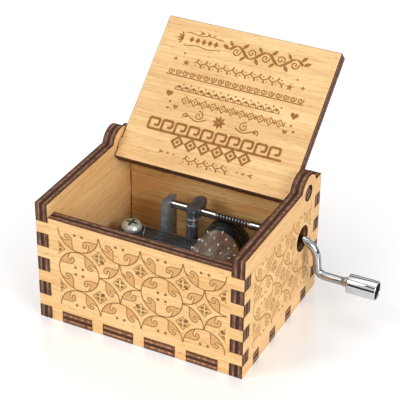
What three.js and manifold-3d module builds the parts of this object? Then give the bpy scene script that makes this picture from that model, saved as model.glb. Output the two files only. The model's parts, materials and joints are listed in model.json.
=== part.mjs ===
// Hand crank music box: a finger-jointed plywood box, a lid that leans back on the back wall,
// and a movement with a worm on the crank's shaft, a worm wheel, a pinned drum and a comb.
// Millimetres, +Z up. The front faces -Y and the crank is on the +X side.
// The origin is the middle of the floor panel's underside.
import * as THREE from 'three';
import { mergeVertices } from 'three/addons/utils/BufferGeometryUtils.js';
import Module from 'manifold-3d';

const wasm = await Module();
wasm.setup();

// Box: its inside is the movement's base and the room left round it
const boardThickness = 3.8;
const boardFit = 0.05;
const fingerHeight = 4.1;
const frontTabCount = 4;
const frontTabSpacing = 3.8;
const sideTabCount = 4;
const sideTabWidth = 3.8;
const sideTabMargin = 3.3;
const leftRoom = 3.2;
const rightRoom = 3.6;
const frontRoom = 7.5;
const backRoom = 2.1;

// Lid and its pivots
const pivotFromBack = 9;
const pivotHeight = 36.6;
const wallAbovePivot = 1.8;
const pivotTabWidth = 3;
const pivotClearance = 0.08;
const pivotTabRecess = 0.1;
const earRadius = 5;
const earShift = 0.2;
const earRise = 0.4;
const lidSideGap = 0.3;
const lidSeatGap = 0.3;
const lidSwingGap = 0.3;
const lidLeanGap = 0.15;
const lidLip = 0.4;

// Crank: one bent rod, with the worm cut in its straight shaft
const shaftRise = 18.75;
const shaftRadius = 1.25;
const runningGap = 0.05;
const armStandoff = 4.2;
const armSlant = 0.9;
const armDrop = 10.4;
const shoulderRadius = 5.6;
const elbowRadius = 2.6;
const handleLength = 8;
const crimpLength = 1.3;
const crimpRadius = 1.5;
const crankHoleRadius = 4;
const crankHoleShift = 0.4;
const crankHoleRise = 0.5;

// Worm and wheel
const wormPitch = 0.96;
const wormTurns = 10;
const wormLead = 3;
const threadDepth = 0.45;
const threadRunout = 0.9;
const rootClearance = 0.12;
const wheelTeeth = 44;
const wheelWidth = 3.8;
const plugGap = 0.05;

// Drum
const drumRadius = 6.2;
const drumWall = 0.8;
const drumOverlap = 0.5;
const pinRadius = 0.17;
const pinHeight = 0.4;
const pinsPerTooth = 4;
const plugLength = 2;
const arborRadius = 1;
const arborEnd = 0.4;
const capThickness = 0.9;
const hubRingRadius = 6.4;
const hubRingWidth = 1;
const hubGrooveDepth = 0.4;
const hubGrooveWidth = 0.7;
const hubNeckWidth = 0.2;
const rearBossRadius = 2.4;
const rearBossLength = 0.7;

// Comb
const combTeeth = 18;
const toothPitch = 0.98;
const slitWidth = 0.2;
const combThickness = 1;
const combAboveAxis = 0.45;
const tipGap = 0.15;
const combLength = 24.95;
const shortestRoot = 5.3;
const longestRoot = 13.6;
const weightedTeeth = 8;
const weightLength = 3.4;
const weightHeight = 1.5;
const weightInset = 0.6;

// Movement's frame
const seatGap = 0.05;
const baseThickness = 2.2;
const baseCornerRadius = 2;
const baseBeyondComb = 1.6;
const baseBeyondPillar = 3.4;
const baseBeyondBracket = 2.41;
const baseBeyondShaft = 5.7;
const bedInset = 0.8;
const postFromPillar = 9.9;
const postThickness = 2.2;
const postDepth = 6.1;
const postLead = 3.4;
const postAboveShaft = 1.6;
const tenonDepth = 3.6;
const tenonThickness = 1.1;
const innerPillarFromDrum = 10.3;
const outerPillarFromDrum = 12.9;
const pillarRadius = 1.7;
const pillarLead = 2.4;
const pillarTail = 3.2;
const pillarSpigotRadius = 1.1;
const headBelowShaft = 2;
const headAboveShaft = 2;
const headNeckRadius = 1.6;
const headCapRadius = 1.8;
const headCapThickness = 1.3;
const combBehindGap = 0.3;
const bracketThickness = 1.9;
const bracketHalfWidth = 3;
const bracketEndGap = 0.3;
const footLength = 4;
const footThickness = 1;

// Fasteners
const combScrewRadius = 3.1;
const combScrewHeadHeight = 2;
const combScrewShank = 1.3;
const rearScrewFromHeel = 3.8;
const rearScrewFromBack = 2.9;
const frontScrewFromHeel = 6;
const frontScrewFromFront = 3.2;
const shankClearance = 0.1;
const driveWidth = 0.7;
const driveLength = 3.6;
const driveDepth = 0.9;
const rivetShank = 0.6;
const rivetHeadRadius = 1;
const rivetHeadHeight = 0.4;
const rivetSpacing = 3.6;
const baseScrewShank = 1;
const baseScrewHeadRadius = 2.3;
const baseScrewHeadHeight = 1.5;
const baseScrewRecess = 0.15;
const baseDriveLength = 2.6;
const baseScrewSpots = {
  base_screw_1: { fromLeft: 3.5, fromFront: 2.8 },
  base_screw_2: { fromLeft: 3.5, fromFront: 27.7 },
  base_screw_3: { fromLeft: 45.5, fromFront: 3.2 },
};

// Knob, its washer, and the ring on the shaft
const knobGap = 0.3;
const knobRadius = 2.9;
const knobLength = 8.8;
const knobWall = 0.45;
const knobEndWall = 0.8;
const knobEdge = 0.2;
const spigotRadius = 0.9;
const washerRadius = 1.5;
const washerThickness = 0.4;
const washerGap = 0.1;
const peenRadius = 1.2;
const peenLength = 0.4;
const shaftRingRadius = 2.4;
const shaftRingWidth = 1.2;
const shaftRingGap = 0.3;
const pressGap = 0.02;

// Overrun of every cut past the face that it opens
const overrun = 1;

// Round stretches
const holeSteps = 32;
const rodSteps = 16;
const smallSteps = 16;
const drumSteps = 72;
const bendSteps = 7;
const threadSteps = 6;
const pinSteps = 5;

// Shares of one thread or tooth pitch, and of a screw head's dome
const threadCrestShare = 0.11;
const threadFootShare = 0.27;
const toothTipShare = 0.12;
const toothFootShare = 0.24;
const domeRimShare = 0.45;
const domeShoulderShare = 0.82;
const goldenShare = 0.618;
const pinTrackShare = 0.3;

// The movement's pieces from left to right, and the box round them
const pinTipRadius = drumRadius + pinHeight;
const drumFromCombTip = tipGap + pinTipRadius;
const combToPillar = combLength + drumFromCombTip + outerPillarFromDrum;
const baseLength = baseBeyondComb + combToPillar + baseBeyondPillar;
const innerWidth = leftRoom + baseLength + rightRoom;
const innerHalfWidth = innerWidth / 2;
const halfWidth = innerHalfWidth + boardThickness;
const baseLeft = leftRoom - innerHalfWidth;
const baseRight = innerHalfWidth - rightRoom;
const heelX = baseLeft + baseBeyondComb;
const combTipX = heelX + combLength;
const drumX = combTipX + drumFromCombTip;
const innerPillarX = drumX - innerPillarFromDrum;
const outerPillarX = drumX + outerPillarFromDrum;
const postLeft = innerPillarX - postFromPillar;
const wormStartX = drumX - wormLead;
const armReach = halfWidth + armStandoff;
const crimpReach = armReach + armSlant + handleLength;

// The movement's pieces from the shaft to the front, measured from the shaft
const combBackFromShaft = pillarLead + pillarRadius + combBehindGap;
const combFrontFromShaft = combBackFromShaft + combTeeth * toothPitch;
const drumFrontFromShaft = combFrontFromShaft + drumOverlap;
const capFrontFromShaft = drumFrontFromShaft + seatGap + capThickness;
const bracketFaceFromShaft = capFrontFromShaft + bracketEndGap;
const baseFrontFromShaft = bracketFaceFromShaft + bracketThickness + baseBeyondBracket;
const innerDepth = frontRoom + baseFrontFromShaft + baseBeyondShaft + backRoom;
const innerHalfDepth = innerDepth / 2;
const halfDepth = innerHalfDepth + boardThickness;
const baseBack = innerHalfDepth - backRoom;
const shaftY = baseBack - baseBeyondShaft;
const baseFront = shaftY - baseFrontFromShaft;
const pillarY = shaftY - pillarLead;
const combBack = shaftY - combBackFromShaft;
const combFront = shaftY - combFrontFromShaft;
const drumFront = shaftY - drumFrontFromShaft;
const capFront = shaftY - capFrontFromShaft;
const frontBracketFace = shaftY - bracketFaceFromShaft;

// The wheel and its hub along the drum's axis
const wheelFront = shaftY - wheelWidth / 2;
const wheelBack = shaftY + wheelWidth / 2;
const hubFront = wheelFront - hubNeckWidth - 2 * hubRingWidth - hubGrooveWidth;
const drumBack = hubFront - seatGap;
const rearBracketFace = wheelBack + rearBossLength + bracketEndGap;

// Heights
const wallHeight = pivotHeight + wallAbovePivot;
const frontTop = pivotHeight - boardThickness / 2 - lidSeatGap;
const baseZ = boardThickness + seatGap;
const baseTop = baseZ + baseThickness;
const shaftZ = baseZ + shaftRise;
const wormRootRadius = shaftRadius - threadDepth;
const wormPitchRadius = shaftRadius - threadDepth / 2;
const wheelPitchRadius = (wheelTeeth * wormPitch) / (2 * Math.PI);
const axleDistance = wormPitchRadius + wheelPitchRadius;
const wheelTipRadius = axleDistance - wormRootRadius - rootClearance;
const wheelFootRadius = axleDistance - shaftRadius - rootClearance;
const drumZ = shaftZ - axleDistance;
const combTop = drumZ + combAboveAxis;
const combUnder = combTop - combThickness;
const bedTop = combUnder - seatGap;

// Fits that follow from the sizes above
const pivotY = halfDepth - pivotFromBack;
const pivotHoleRadius = Math.hypot(pivotTabWidth, boardThickness) / 2 + pivotClearance;
const fingerPairs = Math.floor(frontTop / fingerHeight / 2);
const frontTabWidth = (innerWidth - (frontTabCount + 1) * frontTabSpacing) / frontTabCount;
const frontTabPitch = frontTabWidth + frontTabSpacing;
const sideTabPitch = (innerDepth - 2 * sideTabMargin - sideTabWidth) / (sideTabCount - 1);
const shellInnerRadius = drumRadius - drumWall;
const plugRadius = shellInnerRadius - plugGap;

// Solids

// One closed manifold solid from a three.js geometry
function toSolid(geometry) {
  const bare = geometry.clone();
  bare.deleteAttribute('normal');
  bare.deleteAttribute('uv');
  const merged = mergeVertices(bare);
  const vertProperties = Float32Array.from(merged.attributes.position.array);
  const triVerts = Uint32Array.from(merged.index.array);
  return new wasm.Manifold(new wasm.Mesh({ numProp: 3, vertProperties, triVerts }));
}

// A three.js geometry from a manifold solid
function toGeometry(solid) {
  const mesh = solid.getMesh();
  const geometry = new THREE.BufferGeometry();
  geometry.setAttribute('position', new THREE.BufferAttribute(Float32Array.from(mesh.vertProperties), 3));
  geometry.setIndex(new THREE.BufferAttribute(Uint32Array.from(mesh.triVerts), 1));
  geometry.computeVertexNormals();
  return geometry;
}

function join(first, ...others) {
  const start = toSolid(first);
  return toGeometry(others.reduce((solid, other) => solid.add(toSolid(other)), start));
}

function cut(first, ...others) {
  const start = toSolid(first);
  return toGeometry(others.reduce((solid, other) => solid.subtract(toSolid(other)), start));
}

// A box between two corners
function block(x0, x1, y0, y1, z0, z1) {
  const geometry = new THREE.BoxGeometry(x1 - x0, y1 - y0, z1 - z0);
  return geometry.translate((x0 + x1) / 2, (y0 + y1) / 2, (z0 + z1) / 2);
}

// An outline in the floor plane, raised from z0 to z1
function prism(shape, z0, z1, curveSegments = smallSteps) {
  const geometry = new THREE.ExtrudeGeometry(shape, { depth: z1 - z0, bevelEnabled: false, curveSegments });
  return geometry.translate(0, 0, z0);
}

// An outline whose x runs along +Y and whose y runs along +Z, extruded along +X from x0 to x1
function sidewaysPrism(shape, x0, x1, curveSegments = smallSteps) {
  const geometry = new THREE.ExtrudeGeometry(shape, { depth: x1 - x0, bevelEnabled: false, curveSegments });
  const turn = new THREE.Matrix4().makeBasis(
    new THREE.Vector3(0, 1, 0),
    new THREE.Vector3(0, 0, 1),
    new THREE.Vector3(1, 0, 0),
  );
  return geometry.applyMatrix4(turn).translate(x0, 0, 0);
}

// Round bars along the three axes
function barX(radius, x0, x1, y, z, steps = holeSteps) {
  const geometry = new THREE.CylinderGeometry(radius, radius, x1 - x0, steps);
  return geometry.rotateZ(-Math.PI / 2).translate((x0 + x1) / 2, y, z);
}

function barY(radius, y0, y1, x, z, steps = holeSteps) {
  const geometry = new THREE.CylinderGeometry(radius, radius, y1 - y0, steps);
  return geometry.translate(x, (y0 + y1) / 2, z);
}

function barZ(radius, z0, z1, x, y, steps = holeSteps) {
  const geometry = new THREE.CylinderGeometry(radius, radius, z1 - z0, steps);
  return geometry.rotateX(Math.PI / 2).translate(x, y, (z0 + z1) / 2);
}

// The hole for an upright shank, right through what lies between two heights
function shankHole(radius, place, low, high) {
  return barZ(radius + shankClearance, low - overrun, high + overrun, place.x, place.y, smallSteps);
}

// A turned piece about +Y: each point is a radius and a place along the axis
function turned(points, steps) {
  return new THREE.LatheGeometry(points.map(([radius, along]) => new THREE.Vector2(radius, along)), steps);
}

// A skin over rings of equal count, closed by a fan at each end.
// Each ring runs anticlockwise when seen against the direction in which the rings advance.
function skin(rings) {
  const count = rings[0].length;
  const positions = rings.flat().flatMap((point) => [point.x, point.y, point.z]);
  const index = [];
  for (let ring = 0; ring + 1 < rings.length; ring += 1) {
    for (let step = 0; step < count; step += 1) {
      const here = ring * count + step;
      const next = ring * count + ((step + 1) % count);
      index.push(here, next, next + count, here, next + count, here + count);
    }
  }
  const addFan = (ring, offset, flip) => {
    const middle = ring.reduce((sum, point) => sum.add(point), new THREE.Vector3()).divideScalar(count);
    const hub = positions.length / 3;
    positions.push(middle.x, middle.y, middle.z);
    for (let step = 0; step < count; step += 1) {
      const pair = [offset + step, offset + ((step + 1) % count)];
      index.push(hub, ...(flip ? pair.reverse() : pair));
    }
  };
  addFan(rings[0], 0, true);
  addFan(rings[rings.length - 1], (rings.length - 1) * count, false);
  const geometry = new THREE.BufferGeometry();
  geometry.setAttribute('position', new THREE.Float32BufferAttribute(positions, 3));
  geometry.setIndex(index);
  geometry.computeVertexNormals();
  return geometry;
}

// Materials

const paint = (colour, roughness, metalness) => () => new THREE.MeshStandardMaterial({
  color: new THREE.Color(...colour),
  roughness,
  metalness,
});
const birchPly = paint([0.9, 0.66, 0.38], 0.6, 0);
const castZinc = paint([0.36, 0.39, 0.42], 0.45, 0.8);
const springSteel = paint([0.3, 0.32, 0.34], 0.35, 0.9);
const brightSteel = paint([0.75, 0.77, 0.78], 0.25, 1);
const chrome = paint([0.86, 0.87, 0.88], 0.08, 1);
const drumMetal = paint([0.5, 0.45, 0.4], 0.4, 0.8);
const blackPlastic = paint([0.03, 0.03, 0.035], 0.4, 0);

const musicBox = new THREE.Group();

function addPiece(name, geometry, material, parent = musicBox) {
  const piece = new THREE.Mesh(geometry, material());
  piece.name = name;
  parent.add(piece);
}

// Box

// The heights of the gaps between a wall's fingers, counted from the floor up
const evenBands = Array.from({ length: fingerPairs + 1 }, (_, band) => 2 * band * fingerHeight);
const oddBands = Array.from({ length: fingerPairs }, (_, band) => (2 * band + 1) * fingerHeight);

// Places of tabs spread evenly about the middle of an edge
function tabPlaces(count, pitch) {
  return Array.from({ length: count }, (_, tab) => (tab - (count - 1) / 2) * pitch);
}

// A board that stands across the box, with gaps at its ends for the side walls' fingers
// and along its foot for the floor's tabs
function crossWall(outerY, inwards, top) {
  const y0 = Math.min(outerY, outerY + inwards * boardThickness);
  const y1 = y0 + boardThickness;
  const board = block(-halfWidth, halfWidth, y0, y1, 0, top);
  const gaps = [];
  for (const side of [-1, 1]) {
    evenBands.forEach((bottom, band) => {
      const low = band === 0 ? -overrun : bottom - boardFit;
      const high = band === fingerPairs ? wallHeight + overrun : bottom + fingerHeight + boardFit;
      const inner = side * (innerHalfWidth - boardFit);
      const outer = side * (halfWidth + overrun);
      gaps.push(block(Math.min(inner, outer), Math.max(inner, outer), y0 - overrun, y1 + overrun, low, high));
    });
  }
  for (const place of tabPlaces(frontTabCount, frontTabPitch)) {
    const reach = frontTabWidth / 2 + boardFit;
    const roof = boardThickness + boardFit;
    gaps.push(block(place - reach, place + reach, y0 - overrun, y1 + overrun, -overrun, roof));
  }
  return cut(board, ...gaps);
}

// A side wall's outline: a rectangle with the round ear of the lid's pivot on its top edge
function sideOutline() {
  const earY = pivotY + earShift;
  const earZ = pivotHeight + earRise;
  const meetAngle = Math.asin((wallHeight - earZ) / earRadius);
  const outline = new THREE.Shape();
  outline.moveTo(-halfDepth, 0);
  outline.lineTo(halfDepth, 0);
  outline.lineTo(halfDepth, wallHeight);
  outline.absarc(earY, earZ, earRadius, meetAngle, Math.PI - meetAngle, false);
  outline.lineTo(-halfDepth, wallHeight);
  outline.closePath();
  return outline;
}

function sideWall(side) {
  const x0 = side < 0 ? -halfWidth : innerHalfWidth;
  const x1 = x0 + boardThickness;
  const board = sidewaysPrism(sideOutline(), x0, x1, holeSteps);
  const gaps = [barX(pivotHoleRadius, x0 - overrun, x1 + overrun, pivotY, pivotHeight)];
  for (const end of [-1, 1]) {
    for (const bottom of oddBands) {
      const inner = end * (innerHalfDepth - boardFit);
      const outer = end * (halfDepth + overrun);
      const low = Math.min(inner, outer);
      const high = Math.max(inner, outer);
      gaps.push(block(x0 - overrun, x1 + overrun, low, high, bottom, bottom + fingerHeight));
    }
  }
  for (const place of tabPlaces(sideTabCount, sideTabPitch)) {
    const reach = sideTabWidth / 2 + boardFit;
    const roof = boardThickness + boardFit;
    gaps.push(block(x0 - overrun, x1 + overrun, place - reach, place + reach, -overrun, roof));
  }
  if (side > 0) {
    const holeY = shaftY - crankHoleShift;
    gaps.push(barX(crankHoleRadius, x0 - overrun, x1 + overrun, holeY, shaftZ + crankHoleRise));
  }
  return cut(board, ...gaps);
}

// Where the three wood screws go through the floor and into the movement's base
const baseScrewPlaces = Object.entries(baseScrewSpots).map(([name, spot]) => ({
  name,
  x: baseLeft + spot.fromLeft,
  y: baseFront + spot.fromFront,
}));

function floorPanel() {
  const x = innerHalfWidth - boardFit;
  const y = innerHalfDepth - boardFit;
  const tabs = [];
  for (const place of tabPlaces(frontTabCount, frontTabPitch)) {
    const half = frontTabWidth / 2;
    tabs.push(block(place - half, place + half, -halfDepth, halfDepth, 0, boardThickness));
  }
  for (const place of tabPlaces(sideTabCount, sideTabPitch)) {
    const half = sideTabWidth / 2;
    tabs.push(block(-halfWidth, halfWidth, place - half, place + half, 0, boardThickness));
  }
  const board = join(block(-x, x, -y, y, 0, boardThickness), ...tabs);
  const holes = baseScrewPlaces.flatMap((place) => {
    const shank = baseScrewShank + shankClearance;
    const head = baseScrewHeadRadius + shankClearance;
    const sink = baseScrewHeadHeight + baseScrewRecess;
    const profile = [[0, -overrun], [head, -overrun], [head, baseScrewRecess], [shank, sink], [0, sink]];
    const countersink = turned(profile, smallSteps).rotateX(Math.PI / 2).translate(place.x, place.y, 0);
    return [countersink, shankHole(baseScrewShank, place, 0, boardThickness)];
  });
  return cut(board, ...holes);
}

function addBox() {
  addPiece('floor_panel', floorPanel(), birchPly);
  addPiece('front_panel', crossWall(-halfDepth, 1, frontTop), birchPly);
  addPiece('back_panel', crossWall(halfDepth, -1, wallHeight), birchPly);
  addPiece('left_panel', sideWall(-1), birchPly);
  addPiece('right_panel', sideWall(1), birchPly);
}

// Lid, drawn closed about its pivot, then laid open against the back wall's inner top edge
function addLid() {
  const half = boardThickness / 2;
  const halfSpan = innerHalfWidth - lidSideGap;
  const front = -(halfDepth + pivotY + lidLip);
  const margin = Math.sqrt((pivotFromBack - boardThickness - lidSwingGap) ** 2 - half ** 2);
  const tabReach = halfWidth - pivotTabRecess;
  const board = block(-halfSpan, halfSpan, front, margin, -half, half);
  const tabs = block(-tabReach, tabReach, -pivotTabWidth / 2, pivotTabWidth / 2, -half, half);
  const edgeAway = pivotFromBack - boardThickness;
  const edgeUp = wallHeight - pivotHeight;
  const edgeAngle = Math.atan2(edgeUp, edgeAway);
  const leanAngle = edgeAngle + Math.asin((half + lidLeanGap) / Math.hypot(edgeUp, edgeAway));
  const lidGroup = new THREE.Group();
  lidGroup.position.set(0, pivotY, pivotHeight);
  lidGroup.rotation.x = leanAngle - Math.PI;
  addPiece('lid', join(board, tabs), birchPly, lidGroup);
  musicBox.add(lidGroup);
}

// Movement's frame

const bracketRivets = [
  { name: 'bracket_rivet_1', side: -1, y: frontBracketFace + footLength / 2 },
  { name: 'bracket_rivet_2', side: 1, y: frontBracketFace + footLength / 2 },
  { name: 'bracket_rivet_3', side: -1, y: rearBracketFace - footLength / 2 },
  { name: 'bracket_rivet_4', side: 1, y: rearBracketFace - footLength / 2 },
].map((rivet) => ({ ...rivet, x: drumX + (rivet.side * rivetSpacing) / 2 }));

const combScrews = [
  { name: 'comb_screw_rear', x: heelX + rearScrewFromHeel, y: combBack - rearScrewFromBack },
  { name: 'comb_screw_front', x: heelX + frontScrewFromHeel, y: combFront + frontScrewFromFront },
];

const postFront = shaftY - postLead;

function roundedPlate(x0, x1, y0, y1, radius) {
  const plate = new THREE.Shape();
  plate.moveTo(x0 + radius, y0);
  plate.absarc(x1 - radius, y0 + radius, radius, -Math.PI / 2, 0, false);
  plate.absarc(x1 - radius, y1 - radius, radius, 0, Math.PI / 2, false);
  plate.absarc(x0 + radius, y1 - radius, radius, Math.PI / 2, Math.PI, false);
  plate.absarc(x0 + radius, y0 + radius, radius, Math.PI, 1.5 * Math.PI, false);
  return plate;
}

function addBase() {
  const outline = roundedPlate(baseLeft, baseRight, baseFront, baseBack, baseCornerRadius);
  const plate = prism(outline, baseZ, baseTop);
  const hole = (radius, place) => shankHole(radius, place, baseZ, baseTop);
  const slotX = postLeft + (postThickness - tenonThickness) / 2 - boardFit;
  const slotY = postFront + (postDepth - tenonDepth) / 2 - boardFit;
  const slotRight = slotX + tenonThickness + 2 * boardFit;
  const slotBack = slotY + tenonDepth + 2 * boardFit;
  addPiece('movement_base', cut(
    plate,
    block(slotX, slotRight, slotY, slotBack, baseZ - overrun, baseTop + overrun),
    hole(pillarSpigotRadius, { x: innerPillarX, y: pillarY }),
    hole(pillarSpigotRadius, { x: outerPillarX, y: pillarY }),
    ...bracketRivets.map((rivet) => hole(rivetShank, rivet)),
    ...combScrews.map((screw) => hole(combScrewShank, screw)),
    ...baseScrewPlaces.map((place) => hole(baseScrewShank, place)),
  ), castZinc);
}

// The slanted line where the comb's slits end: its root is longest beside the shortest teeth, in front
function slitRootX(y) {
  const share = (combBack - y) / (combBack - combFront);
  return heelX + shortestRoot + share * (longestRoot - shortestRoot);
}

function addCombBed() {
  const outline = new THREE.Shape();
  outline.moveTo(heelX, combFront);
  outline.lineTo(slitRootX(combFront) - bedInset, combFront);
  outline.lineTo(slitRootX(combBack) - bedInset, combBack);
  outline.lineTo(heelX, combBack);
  outline.closePath();
  const bed = prism(outline, baseTop + seatGap, bedTop);
  const holes = combScrews.map((screw) => shankHole(combScrewShank, screw, baseTop, bedTop));
  addPiece('comb_bed', cut(bed, ...holes), castZinc);
}

function addEndPost() {
  const foot = baseTop + seatGap;
  const top = shaftZ + postAboveShaft;
  const right = postLeft + postThickness;
  const back = postFront + postDepth;
  const tenonX = postLeft + (postThickness - tenonThickness) / 2;
  const tenonY = postFront + (postDepth - tenonDepth) / 2;
  const plate = block(postLeft, right, postFront, back, foot, top);
  const tenon = block(tenonX, tenonX + tenonThickness, tenonY, tenonY + tenonDepth, baseZ, foot + seatGap);
  const bore = barX(shaftRadius + runningGap, postLeft - overrun, right + overrun, shaftY, shaftZ, holeSteps);
  addPiece('shaft_end_post', cut(join(plate, tenon), bore), castZinc);
}

// The long head of a bearing pillar, seen from above: two half rounds and the straights between
function headOutline(x, radius) {
  const outline = new THREE.Shape();
  outline.absarc(x, shaftY + pillarTail, radius, 0, Math.PI, false);
  outline.absarc(x, pillarY, radius, Math.PI, 2 * Math.PI, false);
  outline.closePath();
  return outline;
}

function addBearingPillar(name, x) {
  const foot = baseTop + seatGap;
  const headFoot = shaftZ - headBelowShaft;
  const capTop = shaftZ + headAboveShaft;
  const capFoot = capTop - headCapThickness;
  const bury = seatGap;
  const post = barZ(pillarRadius, foot, headFoot + bury, x, pillarY, smallSteps);
  const spigot = barZ(pillarSpigotRadius, baseZ, foot + bury, x, pillarY, smallSteps);
  const neck = prism(headOutline(x, headNeckRadius), headFoot, capFoot + bury);
  const cap = prism(headOutline(x, headCapRadius), capFoot, capTop);
  const boreReach = headCapRadius + overrun;
  const bore = barX(shaftRadius + runningGap, x - boreReach, x + boreReach, shaftY, shaftZ, holeSteps);
  addPiece(name, cut(join(post, spigot, neck, cap), bore), castZinc);
}

// A drum bracket: an upright with a round top, and a foot that runs under the drum
function addBracket(name, face, towardsDrum) {
  const foot = baseTop + seatGap;
  const y0 = towardsDrum > 0 ? face - bracketThickness : face;
  const y1 = y0 + bracketThickness;
  const left = drumX - bracketHalfWidth;
  const right = drumX + bracketHalfWidth;
  const upright = block(left, right, y0, y1, foot, drumZ);
  const crown = barY(bracketHalfWidth, y0, y1, drumX, drumZ);
  const toe = face + towardsDrum * footLength;
  const flange = block(left, right, Math.min(y0, toe), Math.max(y1, toe), foot, foot + footThickness);
  const bore = barY(arborRadius + runningGap, y0 - overrun, y1 + overrun, drumX, drumZ);
  const rivetHoles = bracketRivets.map((rivet) => shankHole(rivetShank, rivet, foot, foot + footThickness));
  addPiece(name, cut(join(upright, crown, flange), bore, ...rivetHoles), castZinc);
}

function addFrame() {
  addBase();
  addCombBed();
  addEndPost();
  addBearingPillar('bearing_pillar_inner', innerPillarX);
  addBearingPillar('bearing_pillar_outer', outerPillarX);
  addBracket('drum_bracket_front', frontBracketFace, 1);
  addBracket('drum_bracket_rear', rearBracketFace, -1);
}

// Comb

function addComb() {
  const outline = new THREE.Shape();
  outline.moveTo(heelX, combBack);
  outline.lineTo(heelX, combFront);
  for (let tooth = 0; tooth < combTeeth; tooth += 1) {
    const low = combFront + tooth * toothPitch + (tooth === 0 ? 0 : slitWidth / 2);
    const high = combFront + (tooth + 1) * toothPitch - (tooth === combTeeth - 1 ? 0 : slitWidth / 2);
    if (tooth > 0) {
      outline.lineTo(slitRootX(low), low);
    }
    outline.lineTo(combTipX, low);
    outline.lineTo(combTipX, high);
    if (tooth < combTeeth - 1) {
      outline.lineTo(slitRootX(high), high);
    }
  }
  outline.closePath();
  const plate = prism(outline, combUnder, combTop);
  const weights = [];
  for (let tooth = combTeeth - weightedTeeth; tooth < combTeeth; tooth += 1) {
    const middle = combFront + (tooth + 0.5) * toothPitch;
    const half = toothPitch / 2 - slitWidth;
    const right = combTipX - weightInset;
    const low = combUnder - weightHeight;
    const high = combUnder + combThickness / 2;
    weights.push(block(right - weightLength, right, middle - half, middle + half, low, high));
  }
  const holes = combScrews.map((screw) => shankHole(combScrewShank, screw, combUnder, combTop));
  addPiece('comb', cut(join(plate, ...weights), ...holes), springSteel);
}

// Two crossed slots for a screwdriver, cut into a face
function crossSlots(x, y, face, direction, length) {
  const z0 = Math.min(face + direction * overrun, face - direction * driveDepth);
  const z1 = Math.max(face + direction * overrun, face - direction * driveDepth);
  const reach = length / 2;
  const half = driveWidth / 2;
  return [
    block(x - reach, x + reach, y - half, y + half, z0, z1),
    block(x - half, x + half, y - reach, y + reach, z0, z1),
  ];
}

function addCombScrews() {
  for (const screw of combScrews) {
    const seat = combTop + seatGap;
    const rim = seat + combScrewHeadHeight * domeRimShare;
    const shoulder = seat + combScrewHeadHeight * domeShoulderShare;
    const top = seat + combScrewHeadHeight;
    const profile = [
      [0, baseZ],
      [combScrewShank, baseZ],
      [combScrewShank, seat],
      [combScrewRadius, seat],
      [combScrewRadius, rim],
      [combScrewRadius * domeShoulderShare, shoulder],
      [combScrewRadius * domeRimShare, top],
      [0, top],
    ];
    const body = turned(profile, holeSteps).rotateX(Math.PI / 2).translate(screw.x, screw.y, 0);
    addPiece(screw.name, cut(body, ...crossSlots(screw.x, screw.y, top, 1, driveLength)), brightSteel);
  }
}

function addRivets() {
  for (const rivet of bracketRivets) {
    const seat = baseTop + seatGap + footThickness + seatGap;
    const top = seat + rivetHeadHeight;
    const profile = [
      [0, baseZ],
      [rivetShank, baseZ],
      [rivetShank, seat],
      [rivetHeadRadius, seat],
      [rivetHeadRadius * domeShoulderShare, top],
      [0, top],
    ];
    const body = turned(profile, smallSteps).rotateX(Math.PI / 2).translate(rivet.x, rivet.y, 0);
    addPiece(rivet.name, body, brightSteel);
  }
}

function addBaseScrews() {
  for (const place of baseScrewPlaces) {
    const neck = baseScrewRecess + baseScrewHeadHeight;
    const profile = [
      [0, baseScrewRecess],
      [baseScrewHeadRadius, baseScrewRecess],
      [baseScrewShank, neck],
      [baseScrewShank, baseTop],
      [0, baseTop],
    ];
    const body = turned(profile, holeSteps).rotateX(Math.PI / 2).translate(place.x, place.y, 0);
    const slots = crossSlots(place.x, place.y, baseScrewRecess, -1, baseDriveLength);
    addPiece(place.name, cut(body, ...slots), brightSteel);
  }
}

// Drum, worm wheel, cap and arbor, drawn about the drum's axis

const drumGroup = new THREE.Group();
drumGroup.position.set(drumX, 0, drumZ);

function addPinDrum() {
  const shell = cut(
    barY(drumRadius, drumFront, drumBack, 0, 0, drumSteps),
    barY(shellInnerRadius, drumFront - overrun, drumBack + overrun, 0, 0, drumSteps),
  );
  const pins = [];
  for (let tooth = 0; tooth < combTeeth; tooth += 1) {
    for (let pin = 0; pin < pinsPerTooth; pin += 1) {
      const turn = (pin / pinsPerTooth + (tooth * pinsPerTooth + pin) * goldenShare) * 2 * Math.PI;
      const length = pinHeight + drumWall / 2;
      const along = combFront + (tooth + pinTrackShare) * toothPitch;
      const stub = new THREE.CylinderGeometry(pinRadius, pinRadius, length, pinSteps);
      stub.translate(0, pinTipRadius - length / 2, 0);
      stub.rotateX(Math.PI / 2).rotateY(turn).translate(0, along, 0);
      pins.push(stub);
    }
  }
  addPiece('pin_drum', join(shell, ...pins), drumMetal, drumGroup);
}

// One ring of the wheel's teeth at a place along its axis, turned to follow the worm's thread
function toothRing(along) {
  const lead = wormPitch / (2 * Math.PI * wormPitchRadius);
  const twist = ((along - shaftY) * lead) / wheelPitchRadius;
  const corners = [
    [-toothFootShare, wheelFootRadius],
    [-toothTipShare, wheelTipRadius],
    [toothTipShare, wheelTipRadius],
    [toothFootShare, wheelFootRadius],
  ];
  const ring = [];
  for (let tooth = 0; tooth < wheelTeeth; tooth += 1) {
    for (const [share, radius] of corners) {
      const angle = ((tooth + share) / wheelTeeth) * 2 * Math.PI + twist;
      ring.push(new THREE.Vector3(radius * Math.sin(angle), along, radius * Math.cos(angle)));
    }
  }
  return ring;
}

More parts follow.
